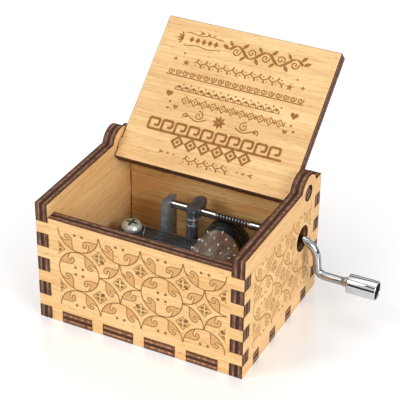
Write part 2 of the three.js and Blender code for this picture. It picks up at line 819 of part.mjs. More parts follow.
function addWormWheel() {
  const teeth = skin([toothRing(wheelFront), toothRing(shaftY), toothRing(wheelBack)]);
  const grooveRadius = hubRingRadius - hubGrooveDepth;
  const firstRingBack = hubFront + hubRingWidth;
  const secondRingFront = firstRingBack + hubGrooveWidth;
  const secondRingBack = secondRingFront + hubRingWidth;
  const hub = turned([
    [0, drumBack - plugLength],
    [plugRadius, drumBack - plugLength],
    [plugRadius, hubFront],
    [hubRingRadius, hubFront],
    [hubRingRadius, firstRingBack],
    [grooveRadius, firstRingBack],
    [grooveRadius, secondRingFront],
    [hubRingRadius, secondRingFront],
    [hubRingRadius, secondRingBack],
    [grooveRadius, secondRingBack],
    [grooveRadius, shaftY],
    [0, shaftY],
  ], drumSteps);
  const boss = barY(rearBossRadius, shaftY, wheelBack + rearBossLength, 0, 0, smallSteps);
  const bore = barY(arborRadius + pressGap, drumFront, rearBracketFace, 0, 0);
  addPiece('worm_wheel', cut(join(teeth, hub, boss), bore), blackPlastic, drumGroup);
}

function addDrumCap() {
  const seat = drumFront - seatGap;
  const cap = turned([
    [0, capFront],
    [drumRadius, capFront],
    [drumRadius, seat],
    [plugRadius, seat],
    [plugRadius, drumFront + plugLength],
    [0, drumFront + plugLength],
  ], drumSteps);
  const bore = barY(arborRadius + pressGap, frontBracketFace, drumBack, 0, 0);
  addPiece('drum_cap', cut(cap, bore), blackPlastic, drumGroup);
}

function addArbor() {
  const front = frontBracketFace - bracketThickness - arborEnd;
  const back = rearBracketFace + bracketThickness + arborEnd;
  addPiece('drum_arbor', barY(arborRadius, front, back, 0, 0), brightSteel, drumGroup);
}

function addDrum() {
  addPinDrum();
  addWormWheel();
  addDrumCap();
  addArbor();
  musicBox.add(drumGroup);
}

// Crank, drawn about the shaft's axis

const crankGroup = new THREE.Group();
crankGroup.position.set(0, shaftY, shaftZ);

// One ring of the rod: its middle, the tilt of the rod below +X, and its radius at each angle
function rodRing(x, z, tilt, radiusAt) {
  const ring = [];
  for (let step = 0; step < rodSteps; step += 1) {
    const angle = (step / rodSteps) * 2 * Math.PI;
    const radius = radiusAt(angle);
    const up = radius * Math.sin(angle);
    ring.push(new THREE.Vector3(x + up * Math.sin(tilt), radius * Math.cos(angle), z + up * Math.cos(tilt)));
  }
  return ring;
}

// The worm's radius at a place along the shaft and an angle round it:
// a right-hand thread that has a valley under the shaft, over the drum's axis
function wormRadius(x, angle) {
  const turns = (x - drumX) / wormPitch - (angle + Math.PI / 2) / (2 * Math.PI);
  const fromValley = turns - Math.floor(turns);
  const fromCrest = Math.abs(fromValley - 0.5);
  const flank = (threadFootShare - fromCrest) / (threadFootShare - threadCrestShare);
  const rise = THREE.MathUtils.clamp(flank, 0, 1);
  const wormEndX = wormStartX + wormTurns * wormPitch;
  const fromEnd = Math.min(x - wormStartX, wormEndX - x);
  const fade = THREE.MathUtils.clamp(fromEnd / threadRunout, 0, 1);
  return shaftRadius - threadDepth * fade * (1 - rise);
}

// A bend of the rod about a centre, from one tilt to another
function bendRings(middleX, middleZ, radius, fromTilt, toTilt, side) {
  const rings = [];
  for (let step = 0; step <= bendSteps; step += 1) {
    const tilt = fromTilt + ((toTilt - fromTilt) * step) / bendSteps;
    const x = middleX + side * radius * Math.sin(tilt);
    const z = middleZ + side * radius * Math.cos(tilt);
    rings.push(rodRing(x, z, tilt, () => shaftRadius));
  }
  return rings;
}

// Where the rod's pieces follow one another towards the knob
const crimpEnd = crimpReach + crimpLength;
const knobBack = crimpEnd + knobGap;
const knobSeat = knobBack + knobEndWall;
const washerBack = knobSeat + washerGap;
const peenStart = washerBack + washerThickness + seatGap;

// The worm's rings, a few to each turn of the thread
function wormRings() {
  return Array.from({ length: wormTurns * threadSteps + 1 }, (_, step) => {
    const x = wormStartX + (step / threadSteps) * wormPitch;
    return rodRing(x, 0, 0, (angle) => wormRadius(x, angle));
  });
}

function addCrankRod() {
  const armTilt = Math.atan2(armDrop, armSlant);
  const shoulderRun = shoulderRadius * Math.tan(armTilt / 2);
  const elbowRun = elbowRadius * Math.tan(armTilt / 2);
  const endStations = [
    [crimpReach, shaftRadius],
    [crimpReach + crimpLength / 2, crimpRadius],
    [crimpEnd, crimpRadius],
    [crimpEnd, spigotRadius],
    [peenStart, spigotRadius],
    [peenStart, peenRadius],
    [peenStart + peenLength, peenRadius],
  ];
  const rings = [
    rodRing(postLeft + seatGap, 0, 0, () => shaftRadius),
    ...wormRings(),
    ...bendRings(armReach - shoulderRun, -shoulderRadius, shoulderRadius, 0, armTilt, 1),
    ...bendRings(armReach + armSlant + elbowRun, elbowRadius - armDrop, elbowRadius, armTilt, 0, -1),
    ...endStations.map(([x, radius]) => rodRing(x, -armDrop, 0, () => radius)),
  ];
  addPiece('crank_rod', skin(rings), chrome, crankGroup);
}

function addShaftRing() {
  const x0 = outerPillarX + headCapRadius + shaftRingGap;
  const x1 = x0 + shaftRingWidth;
  const bore = barX(shaftRadius + pressGap, x0 - overrun, x1 + overrun, 0, 0);
  addPiece('shaft_ring', cut(barX(shaftRingRadius, x0, x1, 0, 0), bore), brightSteel, crankGroup);
}

function addKnobWasher() {
  const x1 = washerBack + washerThickness;
  const washer = barX(washerRadius, washerBack, x1, 0, -armDrop, smallSteps);
  const bore = barX(spigotRadius + pressGap, washerBack - overrun, x1 + overrun, 0, -armDrop);
  addPiece('knob_washer', cut(washer, bore), brightSteel, crankGroup);
}

function addCrankKnob() {
  const innerRadius = knobRadius - knobWall;
  const holeRadius = spigotRadius + runningGap;
  const profile = [
    [holeRadius, 0],
    [knobRadius - knobEdge, 0],
    [knobRadius, knobEdge],
    [knobRadius, knobLength - knobEdge],
    [knobRadius - knobEdge, knobLength],
    [innerRadius, knobLength],
    [innerRadius, knobEndWall],
    [holeRadius, knobEndWall],
    [holeRadius, 0],
  ];
  const knob = turned(profile, holeSteps).rotateZ(-Math.PI / 2).translate(knobBack, 0, -armDrop);
  addPiece('crank_knob', knob, chrome, crankGroup);
}

function addCrank() {
  addCrankRod();
  addShaftRing();
  addKnobWasher();
  addCrankKnob();
  musicBox.add(crankGroup);
}

addBox();
addLid();
addFrame();
addComb();
addCombScrews();
addRivets();
addBaseScrews();
addDrum();
addCrank();

export default musicBox;
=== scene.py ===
# %% [markdown]
# # A hand crank music box
# The real box is laser-cut from thin plywood and glued at its finger joints. A cast base inside
# carries a steel comb, a pinned drum and a crank with a worm cut in its shaft.
# The packed model is the fixed frame: every piece below is placed from its boxes and its joints,
# so nothing has to be fitted by eye.

# %% Load the frame
import json
import math

import bmesh
import bpy
from mathutils import Matrix, Vector


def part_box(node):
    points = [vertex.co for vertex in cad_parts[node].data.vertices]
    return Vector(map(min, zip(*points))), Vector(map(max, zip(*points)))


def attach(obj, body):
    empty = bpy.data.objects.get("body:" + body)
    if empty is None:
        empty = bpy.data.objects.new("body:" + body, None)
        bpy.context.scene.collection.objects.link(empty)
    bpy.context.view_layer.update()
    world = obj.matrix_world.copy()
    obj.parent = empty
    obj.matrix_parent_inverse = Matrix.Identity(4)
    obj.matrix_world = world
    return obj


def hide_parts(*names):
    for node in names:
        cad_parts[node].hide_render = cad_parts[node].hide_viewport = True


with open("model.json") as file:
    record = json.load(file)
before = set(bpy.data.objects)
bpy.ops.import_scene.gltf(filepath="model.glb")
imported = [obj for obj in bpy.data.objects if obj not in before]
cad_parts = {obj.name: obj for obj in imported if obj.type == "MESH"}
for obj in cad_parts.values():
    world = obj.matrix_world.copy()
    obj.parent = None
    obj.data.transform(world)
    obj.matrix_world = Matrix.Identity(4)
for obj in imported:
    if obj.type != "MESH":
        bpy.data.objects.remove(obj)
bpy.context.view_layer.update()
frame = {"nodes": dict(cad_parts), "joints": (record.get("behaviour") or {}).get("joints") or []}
MM = 0.001

joint_point = {joint["name"]: Vector(joint["pos_m"]) for joint in frame["joints"]}
shaft_point = joint_point["crank_spin"]
knob_point = joint_point["knob_spin"]
drum_point = joint_point["drum_spin"]
pivot_point = joint_point["lid_hinge"]
front_low, front_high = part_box("front_panel")
right_low, right_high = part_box("right_panel")
board = front_high.y - front_low.y

# %% [markdown]
# ## Camera
# A product photograph like this one is taken with a long lens from above the right front corner,
# which keeps the box's edges nearly parallel. Such a camera could be set by eye in the viewport, but
# each corner would end a little off. The numbers below were worked out from the corners of the box
# in the picture, so all of them fall into place at once. A small roll levels the picture.

# %% Camera at the photograph's viewing angle
camera_place = Vector((158.83, -311.27, 251.51)) * MM
camera_target = Vector((2.07, 8.16, 30.31)) * MM
camera_roll = math.radians(0.75)
camera_lens = 131.67

camera_data = bpy.data.cameras.new("camera")
camera_data.lens = camera_lens
camera_data.sensor_width = 36.0
camera_data.clip_start = 10 * MM
camera = bpy.data.objects.new("camera", camera_data)
bpy.context.scene.collection.objects.link(camera)
aim = (camera_target - camera_place).to_track_quat("-Z", "Y").to_matrix().to_4x4()
camera.matrix_world = Matrix.Translation(camera_place) @ aim @ Matrix.Rotation(camera_roll, 4, "Z")
bpy.context.scene.camera = camera
bpy.context.scene.view_settings.view_transform = "Standard"
print("camera distance in mm:", round((camera_target - camera_place).length / MM))

# %% [markdown]
# ## Colours
# Colours are named below as they look on a screen, 0 to 255, because that is how they are read off
# a photograph. Shaders count in linear light, so a small function turns one into the other. The
# linear values could be typed in directly, but nobody could picture the colour from them.

# %% Colours as they look on screen
def srgb(red, green, blue):
    """A colour given as it looks on screen, 0 to 255, as the linear value that a shader takes."""
    def linear(value):
        share = value / 255
        return share / 12.92 if share <= 0.04045 else ((share + 0.055) / 1.055) ** 2.4
    return (linear(red), linear(green), linear(blue), 1.0)


print("mid grey on screen is", round(srgb(128, 128, 128)[0], 3), "as a linear value")

# %% [markdown]
# ### Short words for node trees
# Every finish below is a node tree. Written out in full, a tree is long and hard to read, so a
# small class adds a node, fills in its inputs and links them in one call.

# %% A short way to write node trees
class Graph:
    """Writes a node tree line by line: each call adds a node and gives back one of its outputs."""

    def __init__(self, tree):
        self.tree = tree

    def add(self, kind, inputs=None, out=0, **settings):
        node = self.tree.nodes.new(kind)
        for key, value in settings.items():
            setattr(node, key, value)
        self.give(node, inputs or {})
        return node.outputs[out] if len(node.outputs) else node

    def split(self, vector):
        """The x, y and z of a vector, as three outputs."""
        node = self.tree.nodes.new("ShaderNodeSeparateXYZ")
        self.tree.links.new(vector, node.inputs[0])
        return node.outputs

    def give(self, node, values):
        """Fills a node's inputs by name or number: an output is linked, and a plain value is set."""
        for key, value in values.items():
            if isinstance(value, bpy.types.NodeSocket):
                self.tree.links.new(value, node.inputs[key])
            else:
                node.inputs[key].default_value = value

    def math(self, operation, first, second=0.0, clamp=False):
        return self.add("ShaderNodeMath", {0: first, 1: second}, operation=operation, use_clamp=clamp)

    def vector(self, operation, first, second=(0, 0, 0), out=0):
        return self.add("ShaderNodeVectorMath", {0: first, 1: second}, out, operation=operation)

    def mix(self, factor, first, second, blend="MIX"):
        settings = {"data_type": "RGBA", "blend_type": blend, "clamp_factor": True}
        return self.add("ShaderNodeMix", {0: factor, 6: first, 7: second}, 2, **settings)

    def mix_value(self, factor, first, second):
        return self.add("ShaderNodeMix", {0: factor, 2: first, 3: second}, 0, data_type="FLOAT")

    def remap(self, value, low, high, to_low=0.0, to_high=1.0):
        inputs = {0: value, 1: low, 2: high, 3: to_low, 4: to_high}
        return self.add("ShaderNodeMapRange", inputs, clamp=True)

    def noise(self, where, scale=1.0, detail=3.0, roughness=0.55, distortion=0.0):
        inputs = {"Vector": where, "Scale": scale, "Detail": detail, "Roughness": roughness}
        inputs["Distortion"] = distortion
        return self.add("ShaderNodeTexNoise", inputs)

    def bump(self, height, strength, distance):
        return self.add("ShaderNodeBump", {"Height": height, "Strength": strength, "Distance": distance})


print("a graph can add:", ", ".join(word for word in vars(Graph) if not word.startswith("_")))

# %% [markdown]
# ### Groups and materials
# A group is a tree that many materials share: its sockets have names, and each material puts its
# own values in. Copying the nodes into every material would look the same, but a mend would have to
# be made in all of them.

# %% Groups and materials
def new_group(name, kind, inputs, outputs):
    """A node group with named sockets; gives its graph, its inputs and its output node."""
    tree = bpy.data.node_groups.new(name, kind)
    for in_out, sockets in (("INPUT", inputs), ("OUTPUT", outputs)):
        for socket, socket_kind in sockets.items():
            tree.interface.new_socket(socket, in_out=in_out, socket_type=socket_kind)
    entry = tree.nodes.new("NodeGroupInput")
    return Graph(tree), entry.outputs, tree.nodes.new("NodeGroupOutput")


def place_group(graph, tree, inputs):
    """Puts a group into a material's graph and gives its outputs by name."""
    node = graph.tree.nodes.new("ShaderNodeGroup")
    node.node_tree = tree
    graph.give(node, inputs)
    return node.outputs


def new_material(name):
    """A new material, its graph, its Principled shader and its Texture Coordinate node."""
    material = bpy.data.materials.new(name)
    material.use_nodes = True
    tree = material.node_tree
    shader = tree.nodes["Principled BSDF"]
    coordinates = tree.nodes.new("ShaderNodeTexCoord")
    return material, Graph(tree), shader, coordinates


print("shared groups so far:", len(bpy.data.node_groups))

# %% [markdown]
# ## Floor and background
# The white ground is a sheet of white paper with a slight polish. A pure white floor could be had
# with more light, but that would bleach the wood. Here the light stays plain and the floor adds a
# glow of its own that only the camera, mirrors and glass can see. The glow is weaker close to the
# box, which darkens the floor there as painted shade on top of the real soft shadow, and the polish
# shows a faint mirror image at its foot.

# %% The floor's paper
# The glow is weaker near the box: painted shade round it, which fades out between the two distances below.
glow_in_painted_shade, glow_far = 0.3, 0.48
painted_shade_from, painted_shade_to = 45 * MM, 85 * MM
floor_tone = srgb(222, 222, 224)
polish_share = 0.2
polish_roughness = 0.26
polished_within = 70 * MM
dull_beyond = 130 * MM


def seen_directly(graph):
    """1 for rays from the camera, in mirrors and through glass, and 0 for all other light."""
    path = graph.tree.nodes.new("ShaderNodeLightPath").outputs
    seen = graph.math("MAXIMUM", path["Is Camera Ray"], path["Is Transmission Ray"])
    return graph.math("MAXIMUM", seen, path["Is Glossy Ray"])


def floor_material():
    """Slightly polished paper, with a glow that grows away from the box, which paints shade round it."""
    material, graph, shader, coordinates = new_material("paper_white_floor")
    nodes = graph.tree.nodes
    nodes.remove(shader)
    distance = graph.vector("LENGTH", coordinates.outputs["Object"], out=1)
    strength = graph.remap(distance, painted_shade_from, painted_shade_to, glow_in_painted_shade, glow_far)
    seen_strength = graph.math("MULTIPLY", seen_directly(graph), strength)
    glow = graph.add("ShaderNodeEmission", {"Strength": seen_strength})
    paper = graph.add("ShaderNodeBsdfDiffuse", {"Color": floor_tone})
    polish = graph.add("ShaderNodeBsdfGlossy", {"Color": (1, 1, 1, 1), "Roughness": polish_roughness})
    share = graph.remap(distance, polished_within, dull_beyond, polish_share, 0.0)
    polished = graph.add("ShaderNodeMixShader", {0: share, 1: paper, 2: polish})
    surface = graph.add("ShaderNodeAddShader", {0: polished, 1: glow})
    graph.give(nodes["Material Output"], {"Surface": surface})
    return material


print("the floor's glow grows from", glow_in_painted_shade, "to", glow_far)

# %% [markdown]
# ### Laying the floor
# The floor is a sheet just under the box, so large that its edges lie outside the picture. A strong
# white world could light the box from all sides, but then no side would be darker than another. So
# the world is weak as a light, and white only where it is seen directly.

# %% Floor and background
stage_half = 1.5
floor_drop = -0.02 * MM
world_fill = 0.2


def sheet(name, half_across, half_up, height, material):
    """A flat sheet with its middle at the origin, or at a height above it."""
    mesh = bpy.data.meshes.new(name)
    corners = [(x * half_across, y * half_up, height) for x, y in ((-1, -1), (1, -1), (1, 1), (-1, 1))]
    mesh.from_pydata(corners, [], [(0, 1, 2, 3)])
    mesh.materials.append(material)
    flat = bpy.data.objects.new(name, mesh)
    bpy.context.scene.collection.objects.link(flat)
    return flat


floor = sheet("floor", stage_half, stage_half, floor_drop, floor_material())

world = bpy.data.worlds.new("studio")
bpy.context.scene.world = world
world.use_nodes = True
world_graph = Graph(world.node_tree)
sky = world.node_tree.nodes["Background"]
sky_strength = world_graph.mix_value(seen_directly(world_graph), world_fill, 1.0)
world_graph.give(sky, {"Strength": sky_strength, "Color": (1, 1, 1, 1)})
print("floor in metres:", 2 * stage_half, "across; the world lights at", world_fill)

# %% [markdown]
# ## Dark cards
# Chrome in a white room looks like nothing, because it has only white to mirror. A photographer
# hangs black cards round the table to draw dark lines into it. Such lines could be painted into the
# metal, but then they would turn with the crank. These cards are seen in reflections only: they
# cast no shadow, and the camera looks through them.

# %% Dark cards
# Each card: its centre in metres, and its size across and up.
card_black, card_graph, card_shader, card_coordinates = new_material("card_black")
card_cloud = card_graph.noise(card_coordinates.outputs["Object"], 3.0)
card_graph.give(card_shader, {"Base Color": card_graph.mix(card_cloud, srgb(14, 14, 16), srgb(30, 30, 33))})
cards = {
    "card_front_low": ((-0.28, -0.80, 0.20), 1.5, 0.36),
    "card_front_high": ((-0.35, -0.30, 0.85), 1.3, 0.16),
    "card_back_high": ((-0.30, 0.50, 0.62), 1.3, 0.20),
    "card_back_low": ((-0.1, 0.85, 0.16), 1.5, 0.26),
    "card_right": ((0.85, 0.1, 0.20), 0.9, 0.38),
    "card_left": ((-0.85, 0.0, 0.2), 0.9, 0.30),
}
for name, (place, across, up) in cards.items():
    card = sheet(name, across / 2, up / 2, 0, card_black)
    card.location = place
    card.rotation_euler = Vector(place).to_track_quat("Z", "Y").to_euler()
    card.visible_camera = card.visible_diffuse = card.visible_shadow = False
print("cards:", ", ".join(cards))

# %% [markdown]
# ## Lamps
# The photograph's light comes from the left. One high lamp could do most of it, but under the lid
# the back wall would stay dark. So one soft lamp stands high up for the lid and the rims, and one
# low enough to reach under the lid. A third fills the right side, and a weak one from above
# softens the shadows. Their level is plain, so a colour shows about as it is written.

# %% Lamps
# Each lamp: its place in metres, its size and its power.
lamps = {
    "key_upper_left": ((-0.30, -0.42, 0.62), 0.34, 1.6),
    "key_low_left": ((-0.55, -0.62, 0.42), 0.30, 2.7),
    "fill_right": ((0.62, -0.30, 0.34), 0.40, 3.9),
    "top_softbox": ((0.05, 0.10, 0.75), 0.50, 1.1),
}
lamp_target = Vector((0, 0, 20)) * MM
for name, (place, size, power) in lamps.items():
    lamp_data = bpy.data.lights.new(name, "AREA")
    lamp_data.shape = "SQUARE"
    lamp_data.size = size
    lamp_data.energy = power
    lamp = bpy.data.objects.new(name, lamp_data)
    lamp.location = place
    lamp.rotation_euler = (lamp_target - Vector(place)).to_track_quat("-Z", "Y").to_euler()
    bpy.context.scene.collection.objects.link(lamp)
print("lamps:", ", ".join(lamps), "with", round(sum(power for _, _, power in lamps.values()), 1), "W in all")

# %% [markdown]
# ## Plywood
# A laser burns its way through the board: the faces stay pale birch, the cut edges turn dark brown
# with the plies still showing as bands, and the heat leaves a thin scorched line round every
# outline. One material could be painted on, but it would slide when a board turns. Here each board
# is a clean copy of its solid with a narrow chamfer. The shader then tells face, chamfer and edge
# apart by the surface's own direction, so every cut edge is dark and every outline is scorched.

# %% A finished piece
def plain_mesh(name, bm):
    """Writes a bmesh out as a new mesh and frees it."""
    mesh = bpy.data.meshes.new(name)
    bm.to_mesh(mesh)
    bm.free()
    return mesh


def link_piece(name, bm, body, material, smooth_angle=None):
    """Makes the finished mesh of a piece, rides it on its body and names its slot."""
    for face in bm.faces:
        face.material_index = 0
    mesh = plain_mesh(name, bm)
    mesh.materials.append(material)
    piece = bpy.data.objects.new(name, mesh)
    bpy.context.scene.collection.objects.link(piece)
    if smooth_angle is not None:
        mesh.shade_smooth()
        mesh.set_sharp_from_angle(angle=smooth_angle)
    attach(piece, body)
    return piece


print("solids in the frame:", len(frame["nodes"]))

# %% [markdown]
# ### Clean copies
# The packed solids are loose triangles with razor-sharp edges, and no real edge is that sharp. The
# solids stay as they are. A copy is welded, its flat faces are joined, and its edges are bevelled:
# one step makes the chamfer of a cut board, and two make a rounding. The bevel could be a modifier,
# but done in the mesh itself there is nothing left to switch off or to export wrongly.

# %% Clean copies of the solids
weld_distance = 0.002 * MM
flat_angle = math.radians(1)
sharp_angle = math.radians(25)
smooth_angle_of_solids = math.radians(35)


def clean_solid(node):
    """A bmesh of a CAD solid with its corners merged and its flat faces joined."""
    bm = bmesh.new()
    bm.from_mesh(frame["nodes"][node].data)
    bmesh.ops.remove_doubles(bm, verts=bm.verts, dist=weld_distance)
    bmesh.ops.dissolve_limit(bm, angle_limit=flat_angle, verts=bm.verts, edges=bm.edges)
    return bm


def ease_edges(bm, width, steps=1):
    """Takes the sharp edges off: a chamfer with one step, a rounding with more."""
    sharp = [edge for edge in bm.edges if len(edge.link_faces) == 2 and edge.calc_face_angle(0) > sharp_angle]
    settings = {"segments": steps, "profile": 0.5, "affect": "EDGES", "clamp_overlap": True}
    bmesh.ops.bevel(bm, geom=sharp, offset=width, **settings)


def settle_face(bm, axis, side, depth):
    """Moves the outer face on one side of an axis inwards, to leave room for what is laid on it."""
    limit = max(side * vertex.co[axis] for vertex in bm.verts)
    for vertex in bm.verts:
        if side * vertex.co[axis] > limit - weld_distance:
            vertex.co[axis] -= side * depth


def finished_solid(node, name, body, material, width, steps=1, smooth=True, settled=None):
    """A CAD solid's finished stand-in: same shape, eased edges, smooth where it is round."""
    bm = clean_solid(node)
    ease_edges(bm, width, steps)
    if settled:
        settle_face(bm, *settled)
    bmesh.ops.triangulate(bm, faces=[face for face in bm.faces if len(face.verts) > 4])
    piece = link_piece(name, bm, body, material, smooth_angle_of_solids if smooth else None)
    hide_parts(node)
    return piece


print("copies are welded at", weld_distance / MM, "mm")

# %% [markdown]
# ### The face of the board
# Birch veneer is pale and even. Close up it has long soft streaks, slow bands of warmer colour and
# short dark flecks, all running with the grain. A picture of veneer could be laid on, but it would
# show its borders and come back on every wall. Noise stretched along one direction has no borders.
# Three scales of it mixed look like veneer, where one looks like cloud.

# %% Birch face group
# How often each mark comes in a metre: along the grain, and twice across it.
streaks_per_metre = (60, 1500, 1500)
bands_per_metre = (14, 130, 130)
flecks_per_metre = (420, 3200, 3200)


def birch_face_group():
    inputs = {"Vector": "NodeSocketVector", "Light Tone": "NodeSocketColor", "Warm Tone": "NodeSocketColor"}
    outputs = {"Color": "NodeSocketColor", "Roughness": "NodeSocketFloat", "Height": "NodeSocketFloat"}
    graph, given, result = new_group("birch_face", "ShaderNodeTree", inputs, outputs)
    streak_place, band_place, fleck_place = (
        graph.vector("MULTIPLY", given["Vector"], often)
        for often in (streaks_per_metre, bands_per_metre, flecks_per_metre)
    )
    streak = graph.noise(streak_place, detail=4.0, roughness=0.6)
    band = graph.noise(band_place, detail=2.0, roughness=0.5, distortion=0.6)
    fleck = graph.remap(graph.noise(fleck_place, detail=1.0, roughness=0.5), 0.64, 0.74)
    warm = graph.math("ADD", graph.math("MULTIPLY", streak, 0.65), graph.math("MULTIPLY", band, 0.5))
    colour = graph.mix(graph.remap(warm, 0.46, 0.7), given["Light Tone"], given["Warm Tone"])
    fleck_tone = graph.mix(1.0, colour, srgb(205, 175, 150), "MULTIPLY")
    colour = graph.mix(graph.math("MULTIPLY", fleck, 0.8), colour, fleck_tone)
    height = graph.math("SUBTRACT", streak, graph.math("MULTIPLY", fleck, 0.6))
    roughness = graph.remap(streak, 0.3, 0.7, 0.46, 0.6)
    graph.give(result, {"Color": colour, "Roughness": roughness, "Height": height})
    return graph.tree


birch_face = birch_face_group()
print("birch face:", len(birch_face.nodes), "nodes")

# %% [markdown]
# ### The burnt edge
# A cut edge shows the plies side on. Each ply chars to its own brown, the glue between them nearly
# to black, and soot lies over all of it unevenly. Stripes could be painted on, but here they are
# worked out from how deep a point lies in the board, so they stay in line round every finger and
# every curve. Two sine waves give the plies and their glue lines, and noise makes them waver.

# %% Burnt edge group
plies, glue_lines = 2, 5
band_waver = 0.07
soot_per_metre = (900, 900, 300)
charred, toasted = srgb(94, 54, 35), srgb(178, 128, 94)
glue_tone, outer_ply_tone = srgb(52, 27, 17), srgb(64, 32, 19)


def burnt_edge_group():
    """The laser's cut: dark plies with thin darker glue lines, and soot that varies along the edge."""
    inputs = {"Depth Share": "NodeSocketFloat", "Vector": "NodeSocketVector"}
    outputs = {"Color": "NodeSocketColor", "Roughness": "NodeSocketFloat", "Height": "NodeSocketFloat"}
    graph, given, result = new_group("burnt_edge", "ShaderNodeTree", inputs, outputs)
    wobble = graph.math("SUBTRACT", graph.noise(given["Vector"], 260.0, detail=2.0, roughness=0.5), 0.5)
    depth = graph.math("ADD", given["Depth Share"], graph.math("MULTIPLY", wobble, band_waver))
    broad, fine = (
        graph.math("ABSOLUTE", graph.math("SINE", graph.math("MULTIPLY", depth, bands * math.pi)))
        for bands in (plies, glue_lines)
    )
    both = graph.math("ADD", graph.math("MULTIPLY", broad, 0.7), graph.math("MULTIPLY", fine, 0.3))
    ply = graph.remap(both, 0.58, 0.96)
    soot = graph.noise(graph.vector("MULTIPLY", given["Vector"], soot_per_metre), detail=3.0, roughness=0.6)
    ply_tone = graph.mix(graph.remap(soot, 0.35, 0.65), charred, toasted)
    colour = graph.mix(ply, glue_tone, ply_tone)
    outer = graph.remap(graph.math("ABSOLUTE", graph.math("SUBTRACT", depth, 0.5)), 0.32, 0.5)
    colour = graph.mix(graph.math("MULTIPLY", outer, 0.55), colour, outer_ply_tone)
    roughness = graph.remap(soot, 0.3, 0.7, 0.55, 0.8)
    graph.give(result, {"Color": colour, "Roughness": roughness, "Height": graph.math("ADD", ply, soot)})
    return graph.tree


burnt_edge = burnt_edge_group()
print("burnt edge:", len(burnt_edge.nodes), "nodes")

# %% [markdown]
# ### One material for each board
# The boards lie in different planes and come from different parts of the sheet. One shared material
# would run its grain the wrong way on half of them, so each has its own, with its own grain
# direction and its own piece of the noise. The lid's is worked out as if the lid were flat, so its
# grain follows the board. The back wall's tones are lighter and more orange, as painted light, with a
# line of painted shade in its inner corner; the lid's tones are darker, as painted shade; and the
# floor's tab ends are lighter.

# %% The material of a board
birch_light = srgb(248, 206, 146)
birch_warm = srgb(232, 180, 116)
scorch_and_shade_tone = srgb(92, 52, 28)
seed_shift = (0.37, 0.11, 0.23)
shade_line_width = 0.4 * MM


def corner_shade_line(graph, share, place, shade_line_at):
    """A mask of a thin line of painted shade in an inner corner, on the low side of the board."""
    distance = graph.math("ABSOLUTE", graph.math("SUBTRACT", place, shade_line_at))
    near = graph.remap(distance, shade_line_width * 0.6, shade_line_width, 1.0, 0.0)
    return graph.math("MULTIPLY", near, graph.math("LESS_THAN", share, 0.5))


def board_material(
    name, across, along, low, seed, turn=0.0, light=birch_light, warm=birch_warm, edge_tint=None, shade_line_at=None
):
    """Plywood: it is thick along axis number across, from low on, and its grain runs along the
    second axis. A turn lays a leaning board flat first; shade_line_at is where a line of painted
    shade runs along the grain in an inner corner."""
    material, graph, shader, coordinates = new_material(name)
    where, facing = coordinates.outputs["Object"], coordinates.outputs["Normal"]
    if turn:
        where = graph.vector("SUBTRACT", where, tuple(pivot_point))
        where, facing = (
            graph.add("ShaderNodeVectorRotate", {"Vector": value, "Angle": turn}, rotation_type="X_AXIS")
            for value in (where, facing)
        )
    place = graph.split(where)
    other = 3 - across - along
    grain = graph.add("ShaderNodeCombineXYZ", {0: place[along], 1: place[other], 2: place[across]})
    grain = graph.vector("ADD", grain, tuple(seed * shift for shift in seed_shift))
    face = place_group(graph, birch_face, {"Vector": grain, "Light Tone": light, "Warm Tone": warm})
    share = graph.math("DIVIDE", graph.math("SUBTRACT", place[across], low), board)
    edge = place_group(graph, burnt_edge, {"Depth Share": share, "Vector": where})
    towards = graph.math("ABSOLUTE", graph.split(facing)[across])
    colour = graph.mix(graph.remap(towards, 0.86, 0.9), scorch_and_shade_tone, face["Color"])
    if shade_line_at is not None:
        # Painted shade: a thin dark line along an inner corner, in the same tone as the scorched outlines.
        colour = graph.mix(corner_shade_line(graph, share, place[along], shade_line_at), colour, scorch_and_shade_tone)
    edge_mask = graph.remap(towards, 0.6, 0.5)
    edge_colour = graph.mix(1.0, edge["Color"], edge_tint, "MULTIPLY") if edge_tint else edge["Color"]
    colour = graph.mix(edge_mask, colour, edge_colour)
    roughness = graph.mix_value(edge_mask, face["Roughness"], edge["Roughness"])
    height = graph.mix_value(edge_mask, face["Height"], edge["Height"])
    finish = {"Base Color": colour, "Roughness": roughness, "Specular IOR Level": 0.3}
    graph.give(shader, finish | {"Normal": graph.bump(height, 0.2, 0.05 * MM)})
    return material


print("linear birch tone:", [round(value, 2) for value in birch_light[:3]])

# %% [markdown]
# ### The six boards
# Each board is told which way it is thick and where it starts. The starts could be typed in, but
# read from the solids they follow when the box changes. The walls' outer faces are set back by the
# height of the engraving, so that the ornament stays inside the box's true size. The lid's lean is
# measured on its largest face that looks up and forward.

# %% The six boards
X_AXIS, Y_AXIS, Z_AXIS = 0, 1, 2
# Painted light and shade in the tones: the back wall's are lighter and more orange, and the lid's are darker.
# The floor's cut edges are made lighter.
back_birch_painted_light = (srgb(254, 218, 151), srgb(232, 170, 97))
lid_birch_painted_shade = (srgb(238, 201, 145), srgb(217, 172, 114))
floor_edge_lightening = (1.6, 1.6, 1.4, 1.0)
chamfer = 0.16 * MM
engraving_proud = 0.012 * MM
face_sink = engraving_proud + 0.002 * MM
lid_faces = sorted(frame["nodes"]["lid"].data.polygons, key=lambda face: -face.area)
lid_up = next(face.normal for face in lid_faces if face.normal.y < -0.3 and face.normal.z > 0.3)
lid_lean = math.atan2(-lid_up.y, lid_up.z)
lid_turn = lid_lean - math.pi
print("lid turned from closed by", round(math.degrees(lid_turn), 2), "degrees")

